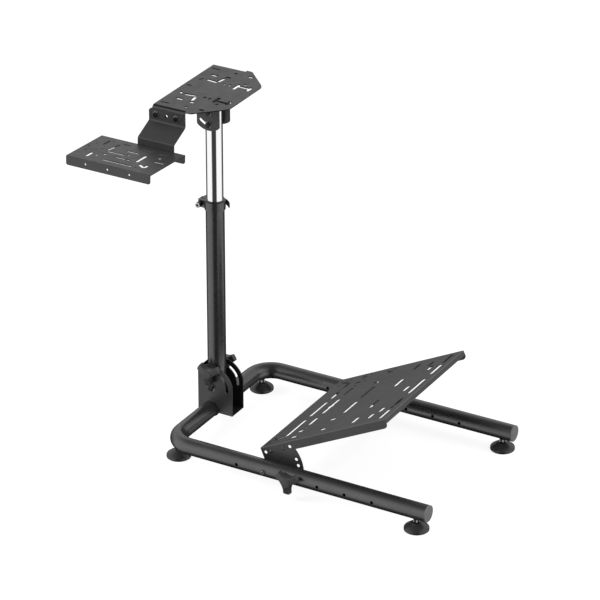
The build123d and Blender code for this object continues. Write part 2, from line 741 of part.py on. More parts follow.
# Pedal plate: one folded sheet, tilted up. Each side flange runs down into an ear with the pivot hole
# and the arc of tilt-setting holes, and rows of slots run across the top for the pedal sets
leg_out = half_spacing + tube_od / 2
leg_in = half_spacing - tube_od / 2
pedal_half = leg_in - pedal_gap
pedal_width = 2 * pedal_half
pedal_top_in = pedal_rise - pedal_sheet
fixing_w = pedal_rise - fixing_drop
fixings = [(fixing_first, fixing_w), (fixing_second, fixing_w)]
open_fixings = [(fixing_hole_near, fixing_w), (fixing_hole_far, fixing_w)]
arc_low = -pedal_tilt - quadrant_low_angle
arc_top_w = pedal_rise - pedal_flange
arc_top_u = sqrt(quadrant_radius**2 - arc_top_w**2)
arc_low_u = quadrant_radius * cos(radians(arc_low))
arc_low_w = quadrant_radius * sin(radians(arc_low))
row_a, row_b, row_c, row_d, row_e = pedal_slot_rows
pedal_slots = (
    (row_a, 99.5, 100),
    (row_b, 122.5, 44),
    (row_c, 170.5, 72),
    (row_d, 150.5, 48),
    (row_d, 49.5, 36),
    (row_e - 34, 85.5, 28),
    (row_e - 50, 53.5, 30),
    (row_e, 110.5, 62),
    (row_e, 43.5, 56),
)
pedal_cross_slots = (
    (row_b - 4, 63.5),
    (row_a + 38, 27.5),
    (row_c - 6, 35.5),
    (row_c - 14, 100.5),
)
pedal_centre_slots = (row_a, row_b, row_e)
pedal_holes = (
    (6, 50.5),
    (2, 24.5),
    (23, 29.5),
    (35, 25.5),
    (86, 87.5),
    (95, 52.5),
    (76, 10.5),
    (97, 15.5),
    (161, 26.5),
    (181, 20.5),
)
with BuildPart() as pedal_plate:
    with BuildSketch(over_pedals(pedal_top_in)):
        with Locations((-pedal_low, 0)):
            Rectangle(pedal_length, pedal_width, align=(Align.MIN, Align.CENTER))
    extrude(amount=pedal_sheet)
    for side, name in sides:
        with BuildSketch(beside(side * pedal_half)) as pedal_side:
            with Locations((0, pedal_rise)):
                Rectangle(pedal_length - pedal_low, pedal_flange, align=(Align.MIN, Align.MAX))
            fillet(pedal_side.vertices().sort_by(Axis.X)[-2:].sort_by(Axis.Y)[:1], radius=12)
            with BuildLine():
                Line((-pedal_low, pedal_rise), (-quadrant_boss, 0))
                CenterArc((0, 0), quadrant_boss, 180, 90)
                Line((0, -quadrant_boss), (arc_low_u, arc_low_w))
                ThreePointArc((arc_low_u, arc_low_w), (quadrant_radius, 0), (arc_top_u, arc_top_w))
                Polyline((arc_top_u, arc_top_w), (arc_top_u, pedal_rise), (-pedal_low, pedal_rise))
            make_face()
            fillet(pedal_side.vertices().sort_by_distance((arc_low_u, arc_low_w))[:1], radius=quadrant_corner)
            Circle((pedal_bolt + bolt_clear) / 2, mode=Mode.SUBTRACT)
            with PolarLocations(leg_hole_pitch, 3, start_angle=-pedal_tilt, angular_range=3 * quadrant_step):
                Circle(leg_hole / 2, mode=Mode.SUBTRACT)
            with Locations(*fixings):
                Circle(fixing_screw / 2 + slip, mode=Mode.SUBTRACT)
            with Locations(*open_fixings):
                Circle(plate_hole / 2, mode=Mode.SUBTRACT)
        extrude(amount=side * pedal_sheet)
    for u in (-pedal_low, pedal_length - pedal_low - pedal_sheet):
        with BuildSketch(over_pedals(pedal_rise)):
            with Locations((u, 0)):
                Rectangle(pedal_sheet, pedal_width, align=(Align.MIN, Align.CENTER))
        extrude(amount=-pedal_lip)
    pedal_up = Axis((0, 0, 0), (-tilt_sin, 0, tilt_cos))
    pedal_top = pedal_plate.faces().sort_by(pedal_up)[-1]
    fillet(pedal_top.edges().sort_by(Axis.X)[-3:], radius=pedal_sheet * 0.9)
    with BuildSketch(over_pedals(pedal_top_in)):
        for u, inset, length in pedal_slots:
            with Locations((u, pedal_half - inset), (u, inset - pedal_half)):
                SlotOverall(length, pedal_slot, rotation=90)
        for u, inset in pedal_cross_slots:
            with Locations((u, pedal_half - inset), (u, inset - pedal_half)):
                SlotOverall(pedal_cross_length, pedal_slot)
        for u in pedal_centre_slots:
            with Locations((u, 0)):
                SlotOverall(pedal_centre_length, pedal_slot, rotation=90)
        for u, inset in pedal_holes:
            with Locations((u, pedal_half - inset), (u, inset - pedal_half)):
                Circle(pedal_hole / 2)
        for side, name in sides:
            with Locations(Location((row_a - 14.5, side * (pedal_half - 43), 0), (0, 0, -side * 26))):
                SlotOverall(38, pedal_hole)
        with Locations((row_e - 34, 0)):
            SlotOverall(pedal_short_length, pedal_slot, rotation=90)
        with Locations((row_b, 0)):
            Circle(0.8 * pedal_slot)
    extrude(amount=pedal_sheet, mode=Mode.SUBTRACT)
pedal_plate.part.label = "pedal_plate"
export_step(pedal_plate.part, "parts/pedal_plate.step")

for side, name in sides:
    # Two small round-headed screws in each side flange, nutted inside
    for (u, w), place in zip(fixings, ("low", "high")):
        at = beside(side * pedal_half).from_local_coords((u, w, 0))
        screw_plane = Plane(origin=at, x_dir=(1, 0, 0), z_dir=(0, side, 0))
        with BuildPart() as pedal_screw:
            with BuildSketch(screw_plane):
                Circle(fixing_screw * 0.95)
            extrude(amount=fixing_screw * 0.5)
            screw_line = Axis(at, screw_plane.z_dir)
            fillet(pedal_screw.faces().sort_by(screw_line)[-1].edges(), radius=fixing_screw * 0.3)
            with BuildSketch(screw_plane.offset(fixing_screw * 0.5)):
                RegularPolygon(radius=fixing_screw * 0.3, side_count=6, major_radius=False)
            extrude(amount=-fixing_screw * 0.3, mode=Mode.SUBTRACT)
            with BuildSketch(screw_plane):
                Circle(fixing_screw / 2)
            extrude(amount=-(pedal_sheet + fixing_screw))
            with BuildSketch(screw_plane.offset(-pedal_sheet)):
                RegularPolygon(radius=fixing_screw * 0.8, side_count=6, major_radius=False)
            extrude(amount=-fixing_screw * 0.8)
        pedal_screw.part.label = f"pedal_screw_{place}_{name}"
        export_step(pedal_screw.part, f"parts/pedal_screw_{place}_{name}.step")

    # Pivot bolt through the leg, with a spacer collar between the leg and the ear
    pivot_face = (mast_x + pedal_pivot_x, mast_y + side * leg_out, tube_height)
    pivot_plane = Plane(origin=pivot_face, x_dir=(1, 0, 0), z_dir=(0, side, 0))
    with BuildPart() as pedal_pivot:
        with BuildSketch(pivot_plane):
            Circle(pedal_head / 2)
        extrude(amount=pedal_head * 0.35)
        pivot_line = Axis(pivot_plane.origin, pivot_plane.z_dir)
        fillet(pedal_pivot.faces().sort_by(pivot_line)[-1].edges(), radius=pedal_head * 0.25)
        with BuildSketch(pivot_plane.offset(pedal_head * 0.35)):
            RegularPolygon(radius=pedal_bolt * 0.3, side_count=6, major_radius=False)
        extrude(amount=-pedal_head * 0.2, mode=Mode.SUBTRACT)
        with BuildSketch(pivot_plane):
            Circle(leg_hole / 2 - slip)
        extrude(amount=-(leg_out - pedal_half + pedal_sheet + pedal_bolt))
        with BuildSketch(pivot_plane.offset(leg_in - leg_out - slip)):
            Circle(pedal_bolt)
        extrude(amount=-(leg_in - pedal_half - 2 * slip))
        with BuildSketch(pivot_plane.offset(pedal_half - pedal_sheet - leg_out - slip)):
            RegularPolygon(radius=pedal_bolt * 0.85, side_count=6, major_radius=False)
        extrude(amount=-pedal_bolt * hex_ratio)
    pedal_pivot.part.label = f"pedal_pivot_bolt_{name}"
    export_step(pedal_pivot.part, f"parts/pedal_pivot_bolt_{name}.step")

    # Lock knob: its stud runs through the leg and stops short of the ear's hole
    knob_at = Plane(
        origin=(mast_x + pedal_lock_x, mast_y + side * (leg_out + knob_gap), tube_height),
        x_dir=(-side, 0, 0),
        z_dir=(0, side, 0),
    )
    pedal_knob = lobed_knob(knob_at, mast_lock_bolt)
    pedal_knob.part.label = f"pedal_knob_{name}"
    export_step(pedal_knob.part, f"parts/pedal_knob_{name}.step")
    with BuildPart() as pedal_stud:
        with BuildSketch(knob_at.offset(knob_boss)):
            Circle(mast_lock_bolt / 2)
        extrude(amount=-(knob_boss + knob_gap + tube_od - slip))
    pedal_stud.part.label = f"pedal_stud_{name}"
    export_step(pedal_stud.part, f"parts/pedal_stud_{name}.step")
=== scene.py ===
# %% [markdown]
# # A folding stand for a racing wheel
#
# The stand is bent steel tube and folded steel sheet, sprayed black and baked, with a chromed tube that
# slides in its mast. The metalwork is loaded as a fixed frame, and its shapes stay as they are.
# This lesson gives each part its finish, and adds what a workshop adds last: weld beads, rolled threads,
# moulded knobs, rubber feet and a clamp lever. Each of those is a surface worked out with numpy.

# %% Load the frame
import json

import bpy
import numpy as np
from mathutils import Matrix, Vector


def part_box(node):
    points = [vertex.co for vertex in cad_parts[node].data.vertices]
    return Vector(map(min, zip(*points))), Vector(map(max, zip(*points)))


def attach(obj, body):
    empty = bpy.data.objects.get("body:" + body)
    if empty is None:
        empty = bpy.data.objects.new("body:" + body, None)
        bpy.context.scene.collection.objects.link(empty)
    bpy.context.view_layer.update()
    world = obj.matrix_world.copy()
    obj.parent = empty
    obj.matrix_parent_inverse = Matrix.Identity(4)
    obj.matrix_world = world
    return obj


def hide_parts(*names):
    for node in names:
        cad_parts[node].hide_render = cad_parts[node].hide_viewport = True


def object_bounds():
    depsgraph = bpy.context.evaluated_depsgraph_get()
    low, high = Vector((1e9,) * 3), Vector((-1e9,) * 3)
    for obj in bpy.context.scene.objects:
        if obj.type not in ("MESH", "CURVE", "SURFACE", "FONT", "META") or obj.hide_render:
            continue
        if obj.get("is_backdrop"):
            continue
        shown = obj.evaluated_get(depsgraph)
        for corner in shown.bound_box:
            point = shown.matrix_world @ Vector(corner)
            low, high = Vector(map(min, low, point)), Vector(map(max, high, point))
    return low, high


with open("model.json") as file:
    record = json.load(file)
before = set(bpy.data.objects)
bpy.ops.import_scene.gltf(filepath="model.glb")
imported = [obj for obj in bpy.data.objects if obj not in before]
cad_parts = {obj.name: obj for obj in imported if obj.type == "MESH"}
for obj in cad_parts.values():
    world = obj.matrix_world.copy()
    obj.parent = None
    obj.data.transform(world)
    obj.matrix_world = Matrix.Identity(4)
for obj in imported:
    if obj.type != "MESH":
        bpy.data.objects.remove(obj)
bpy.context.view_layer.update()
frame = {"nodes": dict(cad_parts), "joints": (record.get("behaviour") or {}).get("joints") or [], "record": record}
nodes = frame["nodes"]
scene = bpy.context.scene

# %% [markdown]
# ## Places to build from
#
# New pieces have to sit on the metal that carries them. The mast's axis is the middle of the chromed tube,
# and the other places are read from the corners of the nodes, so nothing is typed twice.


# %% Read places from the frame
def middle(node):
    """The centre of a node's box at rest: the mean of its lowest and highest corners."""
    low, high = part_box(node)
    return (np.array(low) + np.array(high)) / 2


def extent(node):
    """The size of a node's box along X, Y and Z."""
    low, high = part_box(node)
    return np.array(high) - np.array(low)


mast = middle("chrome_tube")
mast_x, mast_y = mast[0], mast[1]
tube_z = middle("leg_cap_right")[2]
sides = {"right": -1, "left": 1}
print("mast at", round(mast_x, 4), round(mast_y, 4), "leg tubes at height", round(tube_z, 4))

# %% [markdown]
# ## The camera
#
# The photograph was taken with a long lens, so the legs look almost parallel. A long lens is copied by
# standing far off and zooming in. The place, turn and tilt below put the tube ends where the photograph
# has them.

# %% Set up the camera
lens_mm = 210.0
camera_turn = np.radians(119.709)
camera_tilt = np.radians(26.652)
camera_from_mast = Vector((4.2927, -7.0759, 4.4616))

camera_data = bpy.data.cameras.new("camera")
camera_data.lens = lens_mm
camera_data.sensor_width = 36.0
camera_data.clip_end = 100.0
camera = bpy.data.objects.new("camera", camera_data)
scene.collection.objects.link(camera)
level_part, drop_part = np.cos(camera_tilt), -np.sin(camera_tilt)
forward = Vector((np.cos(camera_turn) * level_part, np.sin(camera_turn) * level_part, drop_part))
rightward = Vector((np.sin(camera_turn), -np.cos(camera_turn), 0.0))
upward = rightward.cross(forward)
camera_place = camera_from_mast + Vector((mast_x, mast_y, tube_z))
turn = Matrix((rightward, upward, -forward)).transposed().to_4x4()
camera.matrix_world = Matrix.Translation(camera_place) @ turn
scene.camera = camera
print("camera stands", round(camera_from_mast.length, 2), "m from the mast")

# %% [markdown]
# ## From a grid of points to a mesh
#
# A surface here is a table of points: rows run along the piece and columns go round it. Two neighbouring
# rows and two neighbouring columns make one four-sided face. The table is computed as whole arrays, which
# is quick and keeps the formula readable. A closed piece gets a point at the middle of each end.


# %% Turn a grid into a mesh
def shell(points, ends="pole"):
    """Turns a (rows, columns, 3) grid that closes round its columns into corner points and faces.

    ends is "pole" for a point at the middle of the first and last ring, "loop" where the last row joins
    the first, as on a ring. If six times the enclosed volume, the sum of a . (b x c) over the triangles,
    comes out negative, the faces are turned over to look outwards.
    """
    rows, columns, _ = points.shape
    row_count = rows if ends == "loop" else rows - 1
    row, column = np.meshgrid(np.arange(row_count), np.arange(columns), indexing="ij")
    up, on = (row + 1) % rows, (column + 1) % columns
    corners = [row * columns + column, row * columns + on, up * columns + on, up * columns + column]
    quads = np.stack(corners, axis=-1).reshape(-1, 4)
    spots = points.reshape(-1, 3)
    faces = quads.tolist()
    triangles = np.concatenate([quads[:, [0, 1, 2]], quads[:, [0, 2, 3]]])
    if ends == "pole":
        ring = np.arange(columns)
        onward = (ring + 1) % columns
        first, last = len(spots), len(spots) + 1
        spots = np.concatenate([spots, points[0].mean(axis=0)[None], points[-1].mean(axis=0)[None]])
        base = (rows - 1) * columns
        start = np.stack([onward, ring, np.full(columns, first)], axis=-1)
        finish = np.stack([base + ring, base + onward, np.full(columns, last)], axis=-1)
        faces = faces + start.tolist() + finish.tolist()
        triangles = np.concatenate([triangles, start, finish])
    a, b, c = (spots[triangles[:, i]] for i in range(3))
    if np.einsum("ij,ij->i", a, np.cross(b, c)).sum() < 0:
        faces = [face[::-1] for face in faces]
    return spots, faces


def corner_table(mesh):
    """A mesh's corner points as a (count, 3) array."""
    spots = np.empty(len(mesh.vertices) * 3)
    mesh.vertices.foreach_get("co", spots)
    return spots.reshape(-1, 3)


def build_piece(name, shells, sharp=None, worn=None):
    """Joins shells into one mesh object. Edges that turn by more than sharp degrees stay crisp.

    The last argument is a number for every point, from 0 for a fresh finish to 1 for one painted bright,
    partly as wear and partly as a painted highlight.
    """
    counts = np.cumsum([0] + [len(spots) for spots, _ in shells])
    spots = np.concatenate([spots for spots, _ in shells])
    faces = []
    for start, (_, some) in zip(counts, shells):
        faces.extend([corner + int(start) for corner in face] for face in some)
    mesh = bpy.data.meshes.new(name)
    mesh.from_pydata(spots, [], faces)
    mesh.polygons.foreach_set("use_smooth", np.ones(len(faces), dtype=bool))
    if sharp is not None:
        mesh.set_sharp_from_angle(angle=np.radians(sharp))
    if worn is not None:
        mesh.attributes.new("worn", "FLOAT", "POINT").data.foreach_set("value", worn)
    mesh.update()
    piece = bpy.data.objects.new(name, mesh)
    scene.collection.objects.link(piece)
    return piece


def dress(piece, finish, body):
    """Gives a piece its finish and the body it moves with."""
    piece.data.materials.append(finish)
    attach(piece, body)


def stand_on(points, origin, axis, across=None):
    """Turns (across, sideways, along) points so that along follows axis, and moves them to origin."""
    along = np.array(axis, dtype=float)
    along = along / np.linalg.norm(along)
    if across is None:
        across = (0.0, 0.0, 1.0) if abs(along[2]) < 0.9 else (1.0, 0.0, 0.0)
    first = np.array(across, dtype=float)
    first = first - along * first.dot(along)
    first = first / np.linalg.norm(first)
    second = np.cross(along, first)
    return points @ np.stack([first, second, along]) + np.array(origin, dtype=float)


def turned(radius, height, steps=48):
    """A lathe shape: each row is a circle of that radius at that height along the axis."""
    angle = np.linspace(0, 2 * np.pi, steps, endpoint=False)
    radius = np.asarray(radius, dtype=float)[:, None]
    height = np.asarray(height, dtype=float)[:, None]
    flat = np.ones_like(angle)
    return np.stack([radius * np.cos(angle), radius * np.sin(angle), height * flat], axis=-1)


print("grid tools ready")

# %% [markdown]
# ## Finishes
#
# Steel sheet and tube like this are powder coated: dry paint is blown on and melted in an oven. It flows
# almost flat but keeps a fine orange peel, and it is slightly glossy. A procedural material can show that
# with two sizes of noise in the bump and a little noise in the colour and the gloss. The patterns use the
# object's own coordinates in metres, so their scale is real and nothing slides when a joint moves.


# %% A small kit for node materials
def new_finish(name, colour, roughness, metallic=0.0, ior=1.5, specular=0.5):
    """A material whose plain numbers are set on the shader itself."""
    material = bpy.data.materials.new(name)
    material.use_nodes = True
    shader = material.node_tree.nodes["Principled BSDF"]
    shader.inputs["Base Color"].default_value = (*colour, 1.0)
    shader.inputs["Roughness"].default_value = roughness
    shader.inputs["Metallic"].default_value = metallic
    shader.inputs["IOR"].default_value = ior
    shader.inputs["Specular IOR Level"].default_value = specular
    return material


def add_node(material, kind, **values):
    """Adds a shader node and sets its inputs by name."""
    node = material.node_tree.nodes.new(kind)
    for key, value in values.items():
        node.inputs[key.replace("_", " ")].default_value = value
    return node


def wire(material, source, target):
    """Links an output to an input."""
    material.node_tree.links.new(source, target)


def object_noise(material, scale, detail=3.0, stretch=(1.0, 1.0, 1.0)):
    """Noise on the object's own coordinates: scale is how many patches there are in a metre."""
    place = material.node_tree.nodes.new("ShaderNodeTexCoord")
    mapping = add_node(material, "ShaderNodeMapping", Scale=stretch)
    noise = add_node(material, "ShaderNodeTexNoise", Scale=scale, Detail=detail)
    wire(material, place.outputs["Object"], mapping.inputs["Vector"])
    wire(material, mapping.outputs["Vector"], noise.inputs["Vector"])
    return noise.outputs["Fac"]


def remap(material, value, low, high, start=0.3, stop=0.7):
    """Stretches a value between start and stop to run from low to high."""
    node = add_node(material, "ShaderNodeMapRange", From_Min=start, From_Max=stop, To_Min=low, To_Max=high)
    wire(material, value, node.inputs["Value"])
    return node.outputs["Result"]


def shade_between(material, value, dark, light):
    """Mixes two colours by a value and sends the mix to the shader's colour."""
    mix = material.node_tree.nodes.new("ShaderNodeMix")
    mix.data_type = "RGBA"
    mix.inputs["A"].default_value = (*dark, 1.0)
    mix.inputs["B"].default_value = (*light, 1.0)
    wire(material, value, mix.inputs["Factor"])
    wire(material, mix.outputs["Result"], material.node_tree.nodes["Principled BSDF"].inputs["Base Color"])


def bump_from(material, value, depth, below=None, strength=1.0):
    """Bump of that depth in metres at full value, laid over another bump if one is given."""
    bump = add_node(material, "ShaderNodeBump", Strength=strength, Distance=depth)
    wire(material, value, bump.inputs["Height"])
    if below is not None:
        wire(material, below, bump.inputs["Normal"])
    return bump.outputs["Normal"]


def finish_normal(material, normal):
    """Sends the last bump to the shader."""
    wire(material, normal, material.node_tree.nodes["Principled BSDF"].inputs["Normal"])


def set_roughness(material, value):
    """Lets a value drive the shader's roughness."""
    wire(material, value, material.node_tree.nodes["Principled BSDF"].inputs["Roughness"])


print("finish tools ready")


# %% Powder coat for the sheet metal and the tubes
def powder_coat(name, dark, light, roughness, ior, specular):
    """Baked powder paint: cloudy colour, orange peel of about 1.5 mm, grain of about 0.3 mm, uneven gloss."""
    coat = new_finish(name, light, roughness, ior=ior, specular=specular)
    cloud = object_noise(coat, 9.0, 4.0)
    shade_between(coat, remap(coat, cloud, 0.0, 1.0), dark, light)
    set_roughness(coat, remap(coat, object_noise(coat, 40.0, 5.0), roughness - 0.05, roughness + 0.06))
    peel = bump_from(coat, object_noise(coat, 650.0, 2.0), 0.00012)
    grain = bump_from(coat, object_noise(coat, 3200.0, 2.0), 0.00003, peel)
    finish_normal(coat, grain)
    return coat


def sheet_like(name):
    """The powder coat of all the folded sheet, under a name of its own."""
    return powder_coat(name, (0.03, 0.03, 0.0305), (0.04, 0.04, 0.0405), 0.36, 1.5, 0.6)


sheet_coat = sheet_like("sheet_powder_coat")
tube_coat = powder_coat("tube_powder_coat", (0.013, 0.013, 0.0135), (0.02, 0.02, 0.0205), 0.3, 1.6, 0.95)
print(sheet_coat.name, tube_coat.name)

# %% [markdown]
# One coat doesn't look the same everywhere. Between the cheeks of the mast bracket the channel is painted
# nearly black, a painted shade for the shadow down there. The walls of the slots and holes are painted dark,
# a painted shade in the openings. Along the outer edges of the pedal plate the powder is painted paler, a
# painted highlight along the edges. All three are places on the metal, so each is found by measuring a point
# along a few directions.


# %% Find a place on a part and lay another finish over it
def times(material, one, other):
    """The product of two values, which is 1 only where both are."""
    both = material.node_tree.nodes.new("ShaderNodeMath")
    both.operation = "MULTIPLY"
    wire(material, one, both.inputs[0])
    wire(material, other, both.inputs[1])
    return both.outputs["Value"]


def between(material, way, low, high, soft=0.0001):
    """1 where a point's dot product with way lies between low and high, and 0 elsewhere."""
    place = material.node_tree.nodes.new("ShaderNodeTexCoord")
    reach = material.node_tree.nodes.new("ShaderNodeVectorMath")
    reach.operation = "DOT_PRODUCT"
    reach.inputs[1].default_value = tuple(way)
    wire(material, place.outputs["Object"], reach.inputs[0])
    above = remap(material, reach.outputs["Value"], 0.0, 1.0, low - soft, low + soft)
    below = remap(material, reach.outputs["Value"], 1.0, 0.0, high - soft, high + soft)
    return times(material, above, below)


def lay_over(material, where, colour, roughness):
    """Covers the colour and the gloss that a finish has so far, as far as where is 1."""
    shader = material.node_tree.nodes["Principled BSDF"]
    for name, kind, over in (("Base Color", "RGBA", (*colour, 1.0)), ("Roughness", "FLOAT", roughness)):
        mix = material.node_tree.nodes.new("ShaderNodeMix")
        mix.data_type = kind
        wire(material, shader.inputs[name].links[0].from_socket, mix.inputs["A"])
        mix.inputs["B"].default_value = over
        wire(material, where, mix.inputs["Factor"])
        wire(material, mix.outputs["Result"], shader.inputs[name])


print("place tools ready")

# %% Painted shade in the mast bracket's channel
# Painted shade: the bracket's coat is painted nearly black inside the channel, where shadow falls between the
# cheeks.
channel_shade_coat = sheet_like("channel_powder_coat")
bracket_low, bracket_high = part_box("mast_bracket")
bracket_sheet = 0.0035
wall_overlap = 0.0004
inner = bracket_sheet - wall_overlap
across_channel = between(channel_shade_coat, (0, 1, 0), bracket_low[1] + inner, bracket_high[1] - inner)
ahead_of_back = between(channel_shade_coat, (1, 0, 0), bracket_low[0] + inner, bracket_high[0] + 0.01)
# The painted shade inside the channel: a nearly black, rough colour laid over the coat.
lay_over(channel_shade_coat, times(channel_shade_coat, across_channel, ahead_of_back), (0.003, 0.003, 0.003), 0.9)
print("channel is", round(bracket_high[1] - bracket_low[1] - 2 * bracket_sheet, 4), "m wide")


# %% Painted shade on the walls of the openings and a painted highlight on the pedal plate's edges
# Painted shade: the colour of the walls of the openings.
painted_wall_shade = (0.002, 0.002, 0.002)
# Painted highlight: the paler colour along the pedal plate's outer edges.
painted_edge_highlight_colour = (0.085, 0.085, 0.086)
hole_rim = 0.0015
edge_rim = 0.0004


def plate_coat(node, across, up, thick, painted_edge_highlight=False):
    """Powder coat for a plate, with painted shade on the walls of its openings and, if asked, a painted highlight
    along its outer edges.

    across and up are the plate's own directions. The top plane lies at the greatest dot product with up,
    and the points on it give the flat part's ends. A wall of an opening is below the top plane, above the
    underside and at least hole_rim inside those ends, and gets painted shade. What lies outside them near the
    top is the outer edge, which is painted paler as a highlight when the last argument is true.
    """
    coat = sheet_like(f"{node}_coat")
    spots = corner_table(nodes[node].data)
    up, across = np.array(up), np.array(across)
    top = (spots @ up).max()
    flat = spots[spots @ up > top - 0.0001]

    def flat_part(rim):
        held = [
            between(coat, way, (flat @ way).min() + rim, (flat @ way).max() - rim)
            for way in (across, np.cross(up, across))
        ]
        return times(coat, *held)

    # Painted highlight: the outer edges near the top are painted paler.
    if painted_edge_highlight:
        near_the_top = between(coat, up, top - thick - 0.0005, top + 0.001)
        outside = remap(coat, flat_part(edge_rim), 1.0, 0.0, 0.0, 1.0)
        lay_over(coat, times(coat, near_the_top, outside), painted_edge_highlight_colour, 0.3)
    # Painted shade on the walls of the openings, within the plate's thickness.
    in_the_thickness = between(coat, up, top - thick + 0.0003, top - 0.0003)
    lay_over(coat, times(coat, in_the_thickness, flat_part(hole_rim)), painted_wall_shade, 0.9)
    return coat


pedal_lean, shifter_roll = np.radians(26.7), np.radians(3.2)
shifter_up = (0, -np.sin(shifter_roll), np.cos(shifter_roll))
pedal_up = (-np.sin(pedal_lean), 0, np.cos(pedal_lean))
pedal_across = (np.cos(pedal_lean), 0, np.sin(pedal_lean))
plate_coats = {
    "wheel_plate": plate_coat("wheel_plate", (1, 0, 0), (0, 0, 1), 0.003),
    "shifter_plate": plate_coat("shifter_plate", (1, 0, 0), shifter_up, 0.0025),
    # The pedal plate also gets a painted highlight along its outer edges.
    "pedal_plate": plate_coat("pedal_plate", pedal_across, pedal_up, 0.0015, painted_edge_highlight=True),
}
print("plates with dark cut edges:", len(plate_coats))

# %% [markdown]
# Chromed steel is a mirror with hardly any colour. Real plating carries faint lines along the tube, from
# polishing, and they are only gloss and bump, so the colour stays even.

# %% Chrome for the sliding tube
chrome = new_finish("polished_chrome", (0.95, 0.95, 0.955), 0.06, metallic=1.0)
set_roughness(chrome, remap(chrome, object_noise(chrome, 420.0, 3.0, (1.0, 1.0, 0.03)), 0.04, 0.11))
finish_normal(chrome, bump_from(chrome, object_noise(chrome, 500.0, 2.0, (1.0, 1.0, 0.02)), 0.000004))
print(chrome.name)

# %% [markdown]
# The bolts are blackened steel. Spanners and fingers rub the black off the corners first, so each bolt
# carries a number at every point, and the finish is painted bright where it is high: partly that wear and
# partly a painted highlight, standing in for glints. The knobs and the lever are moulded nylon, which has a
# fine spark-eroded grain. The feet are hard rubber, and the caps in the leg ends are grey plastic.

# %% Metals, plastics and rubber
black_bolt = new_finish("blackened_steel", (0.03, 0.03, 0.032), 0.3, metallic=0.9)
# Painted highlight: the metal's colour turns bright where each point's number is high, partly wear on the corners
# and partly painted glints.
painted_edge_highlight = black_bolt.node_tree.nodes.new("ShaderNodeAttribute")
painted_edge_highlight.attribute_name = "worn"
shade_between(black_bolt, painted_edge_highlight.outputs["Fac"], (0.03, 0.03, 0.032), (0.62, 0.62, 0.62))
set_roughness(black_bolt, remap(black_bolt, object_noise(black_bolt, 700.0, 3.0), 0.22, 0.4))
finish_normal(black_bolt, bump_from(black_bolt, object_noise(black_bolt, 2200.0, 2.0), 0.00002))


def moulded(name, dark, light, roughness, grain_scale, grain_depth):
    """Moulded plastic or rubber: even colour with slow clouds, and a fine eroded grain."""
    plastic = new_finish(name, light, roughness)
    shade_between(plastic, remap(plastic, object_noise(plastic, 30.0, 3.0), 0.0, 1.0), dark, light)
    gloss = object_noise(plastic, 120.0, 3.0)
    set_roughness(plastic, remap(plastic, gloss, roughness - 0.05, roughness + 0.07))
    finish_normal(plastic, bump_from(plastic, object_noise(plastic, grain_scale, 3.0), grain_depth))
    return plastic


knob_nylon = moulded("knob_nylon", (0.036, 0.036, 0.037), (0.048, 0.048, 0.049), 0.3, 2600.0, 0.00004)
foot_rubber = moulded("foot_rubber", (0.027, 0.027, 0.027), (0.038, 0.038, 0.038), 0.24, 1500.0, 0.00004)
cap_plastic = moulded("cap_plastic", (0.15, 0.15, 0.15), (0.18, 0.18, 0.18), 0.5, 2000.0, 0.00004)
print("bolts, plastics and rubber ready")

# %% Hand the finishes to the metalwork
finish_of = {"black_steel": sheet_coat, "black_plastic": knob_nylon, "grey_plastic": cap_plastic}
finish_of |= {"zinc_steel": black_bolt, "chrome": chrome}
slot_of = {part["node"]: part["material_slot"] for part in frame["record"]["subparts"]}
for name, part in nodes.items():
    part.data.materials.clear()
    part.data.materials.append(finish_of[slot_of[name]])
for name in ("base_frame", "lower_tube", "clamp_collar", "guide_bush"):
    nodes[name].data.materials[0] = tube_coat
# The mast bracket gets the coat with painted shade in its channel.
nodes["mast_bracket"].data.materials[0] = channel_shade_coat
for name, coat in plate_coats.items():
    nodes[name].data.materials[0] = coat
print("finished", len(nodes), "nodes")

# %% [markdown]
# ## Moulded knobs
#
# Two knobs clamp the mast in its bracket and two lock the pedal plate. Each is a three-armed nylon star
# with a round boss behind it. It could be modelled as one arm copied round the axis, but the seams between
# arms would need care. A polar outline, a distance for every angle, gives all three arms at once and lets
# them melt into the hub.

# %% The knob's outline
knob_waist = 0.0148
knob_boss = 0.0045
knob_depth = 0.026
knob_tip = 0.0345
knob_lobe = 0.0098
knob_dome = 0.0135
dome_step = 0.001
dome_crown = 0.0009
arm_slope = 0.0055
back_round = 0.0012
front_round = 0.0013


def knob_outline(angle):
    """Distance from the knob's axis to its edge.

    Each hollow between two arms is a circle that touches the waist and passes the corner of an arm's end.
    Its centre distance d solves (d - waist) squared = the squared distance from it to that corner. A ray at
    an angle off the hollow's middle meets it at d cos - sqrt(radius squared - (d sin) squared). The mean of
    that and the tip's distance with a power of -20 rounds the corners of the arm's end.
    """
    off = (angle + 2 * np.pi / 3) % (2 * np.pi / 3) - np.pi / 3
    corner = np.pi / 3 - np.arcsin(knob_lobe / knob_tip)
    far, wide = knob_tip * np.cos(corner), knob_tip * np.sin(corner)
    centre = (far**2 + wide**2 - knob_waist**2) / (2 * (far - knob_waist))
    bow = centre - knob_waist
    inside = np.maximum(bow**2 - (centre * np.sin(off)) ** 2, 0.0)
    hollow = np.where(inside > 0, centre * np.cos(off) - np.sqrt(inside), 2 * knob_tip)
    return (hollow**-20 + knob_tip**-20) ** (-1 / 20) - 0.0001


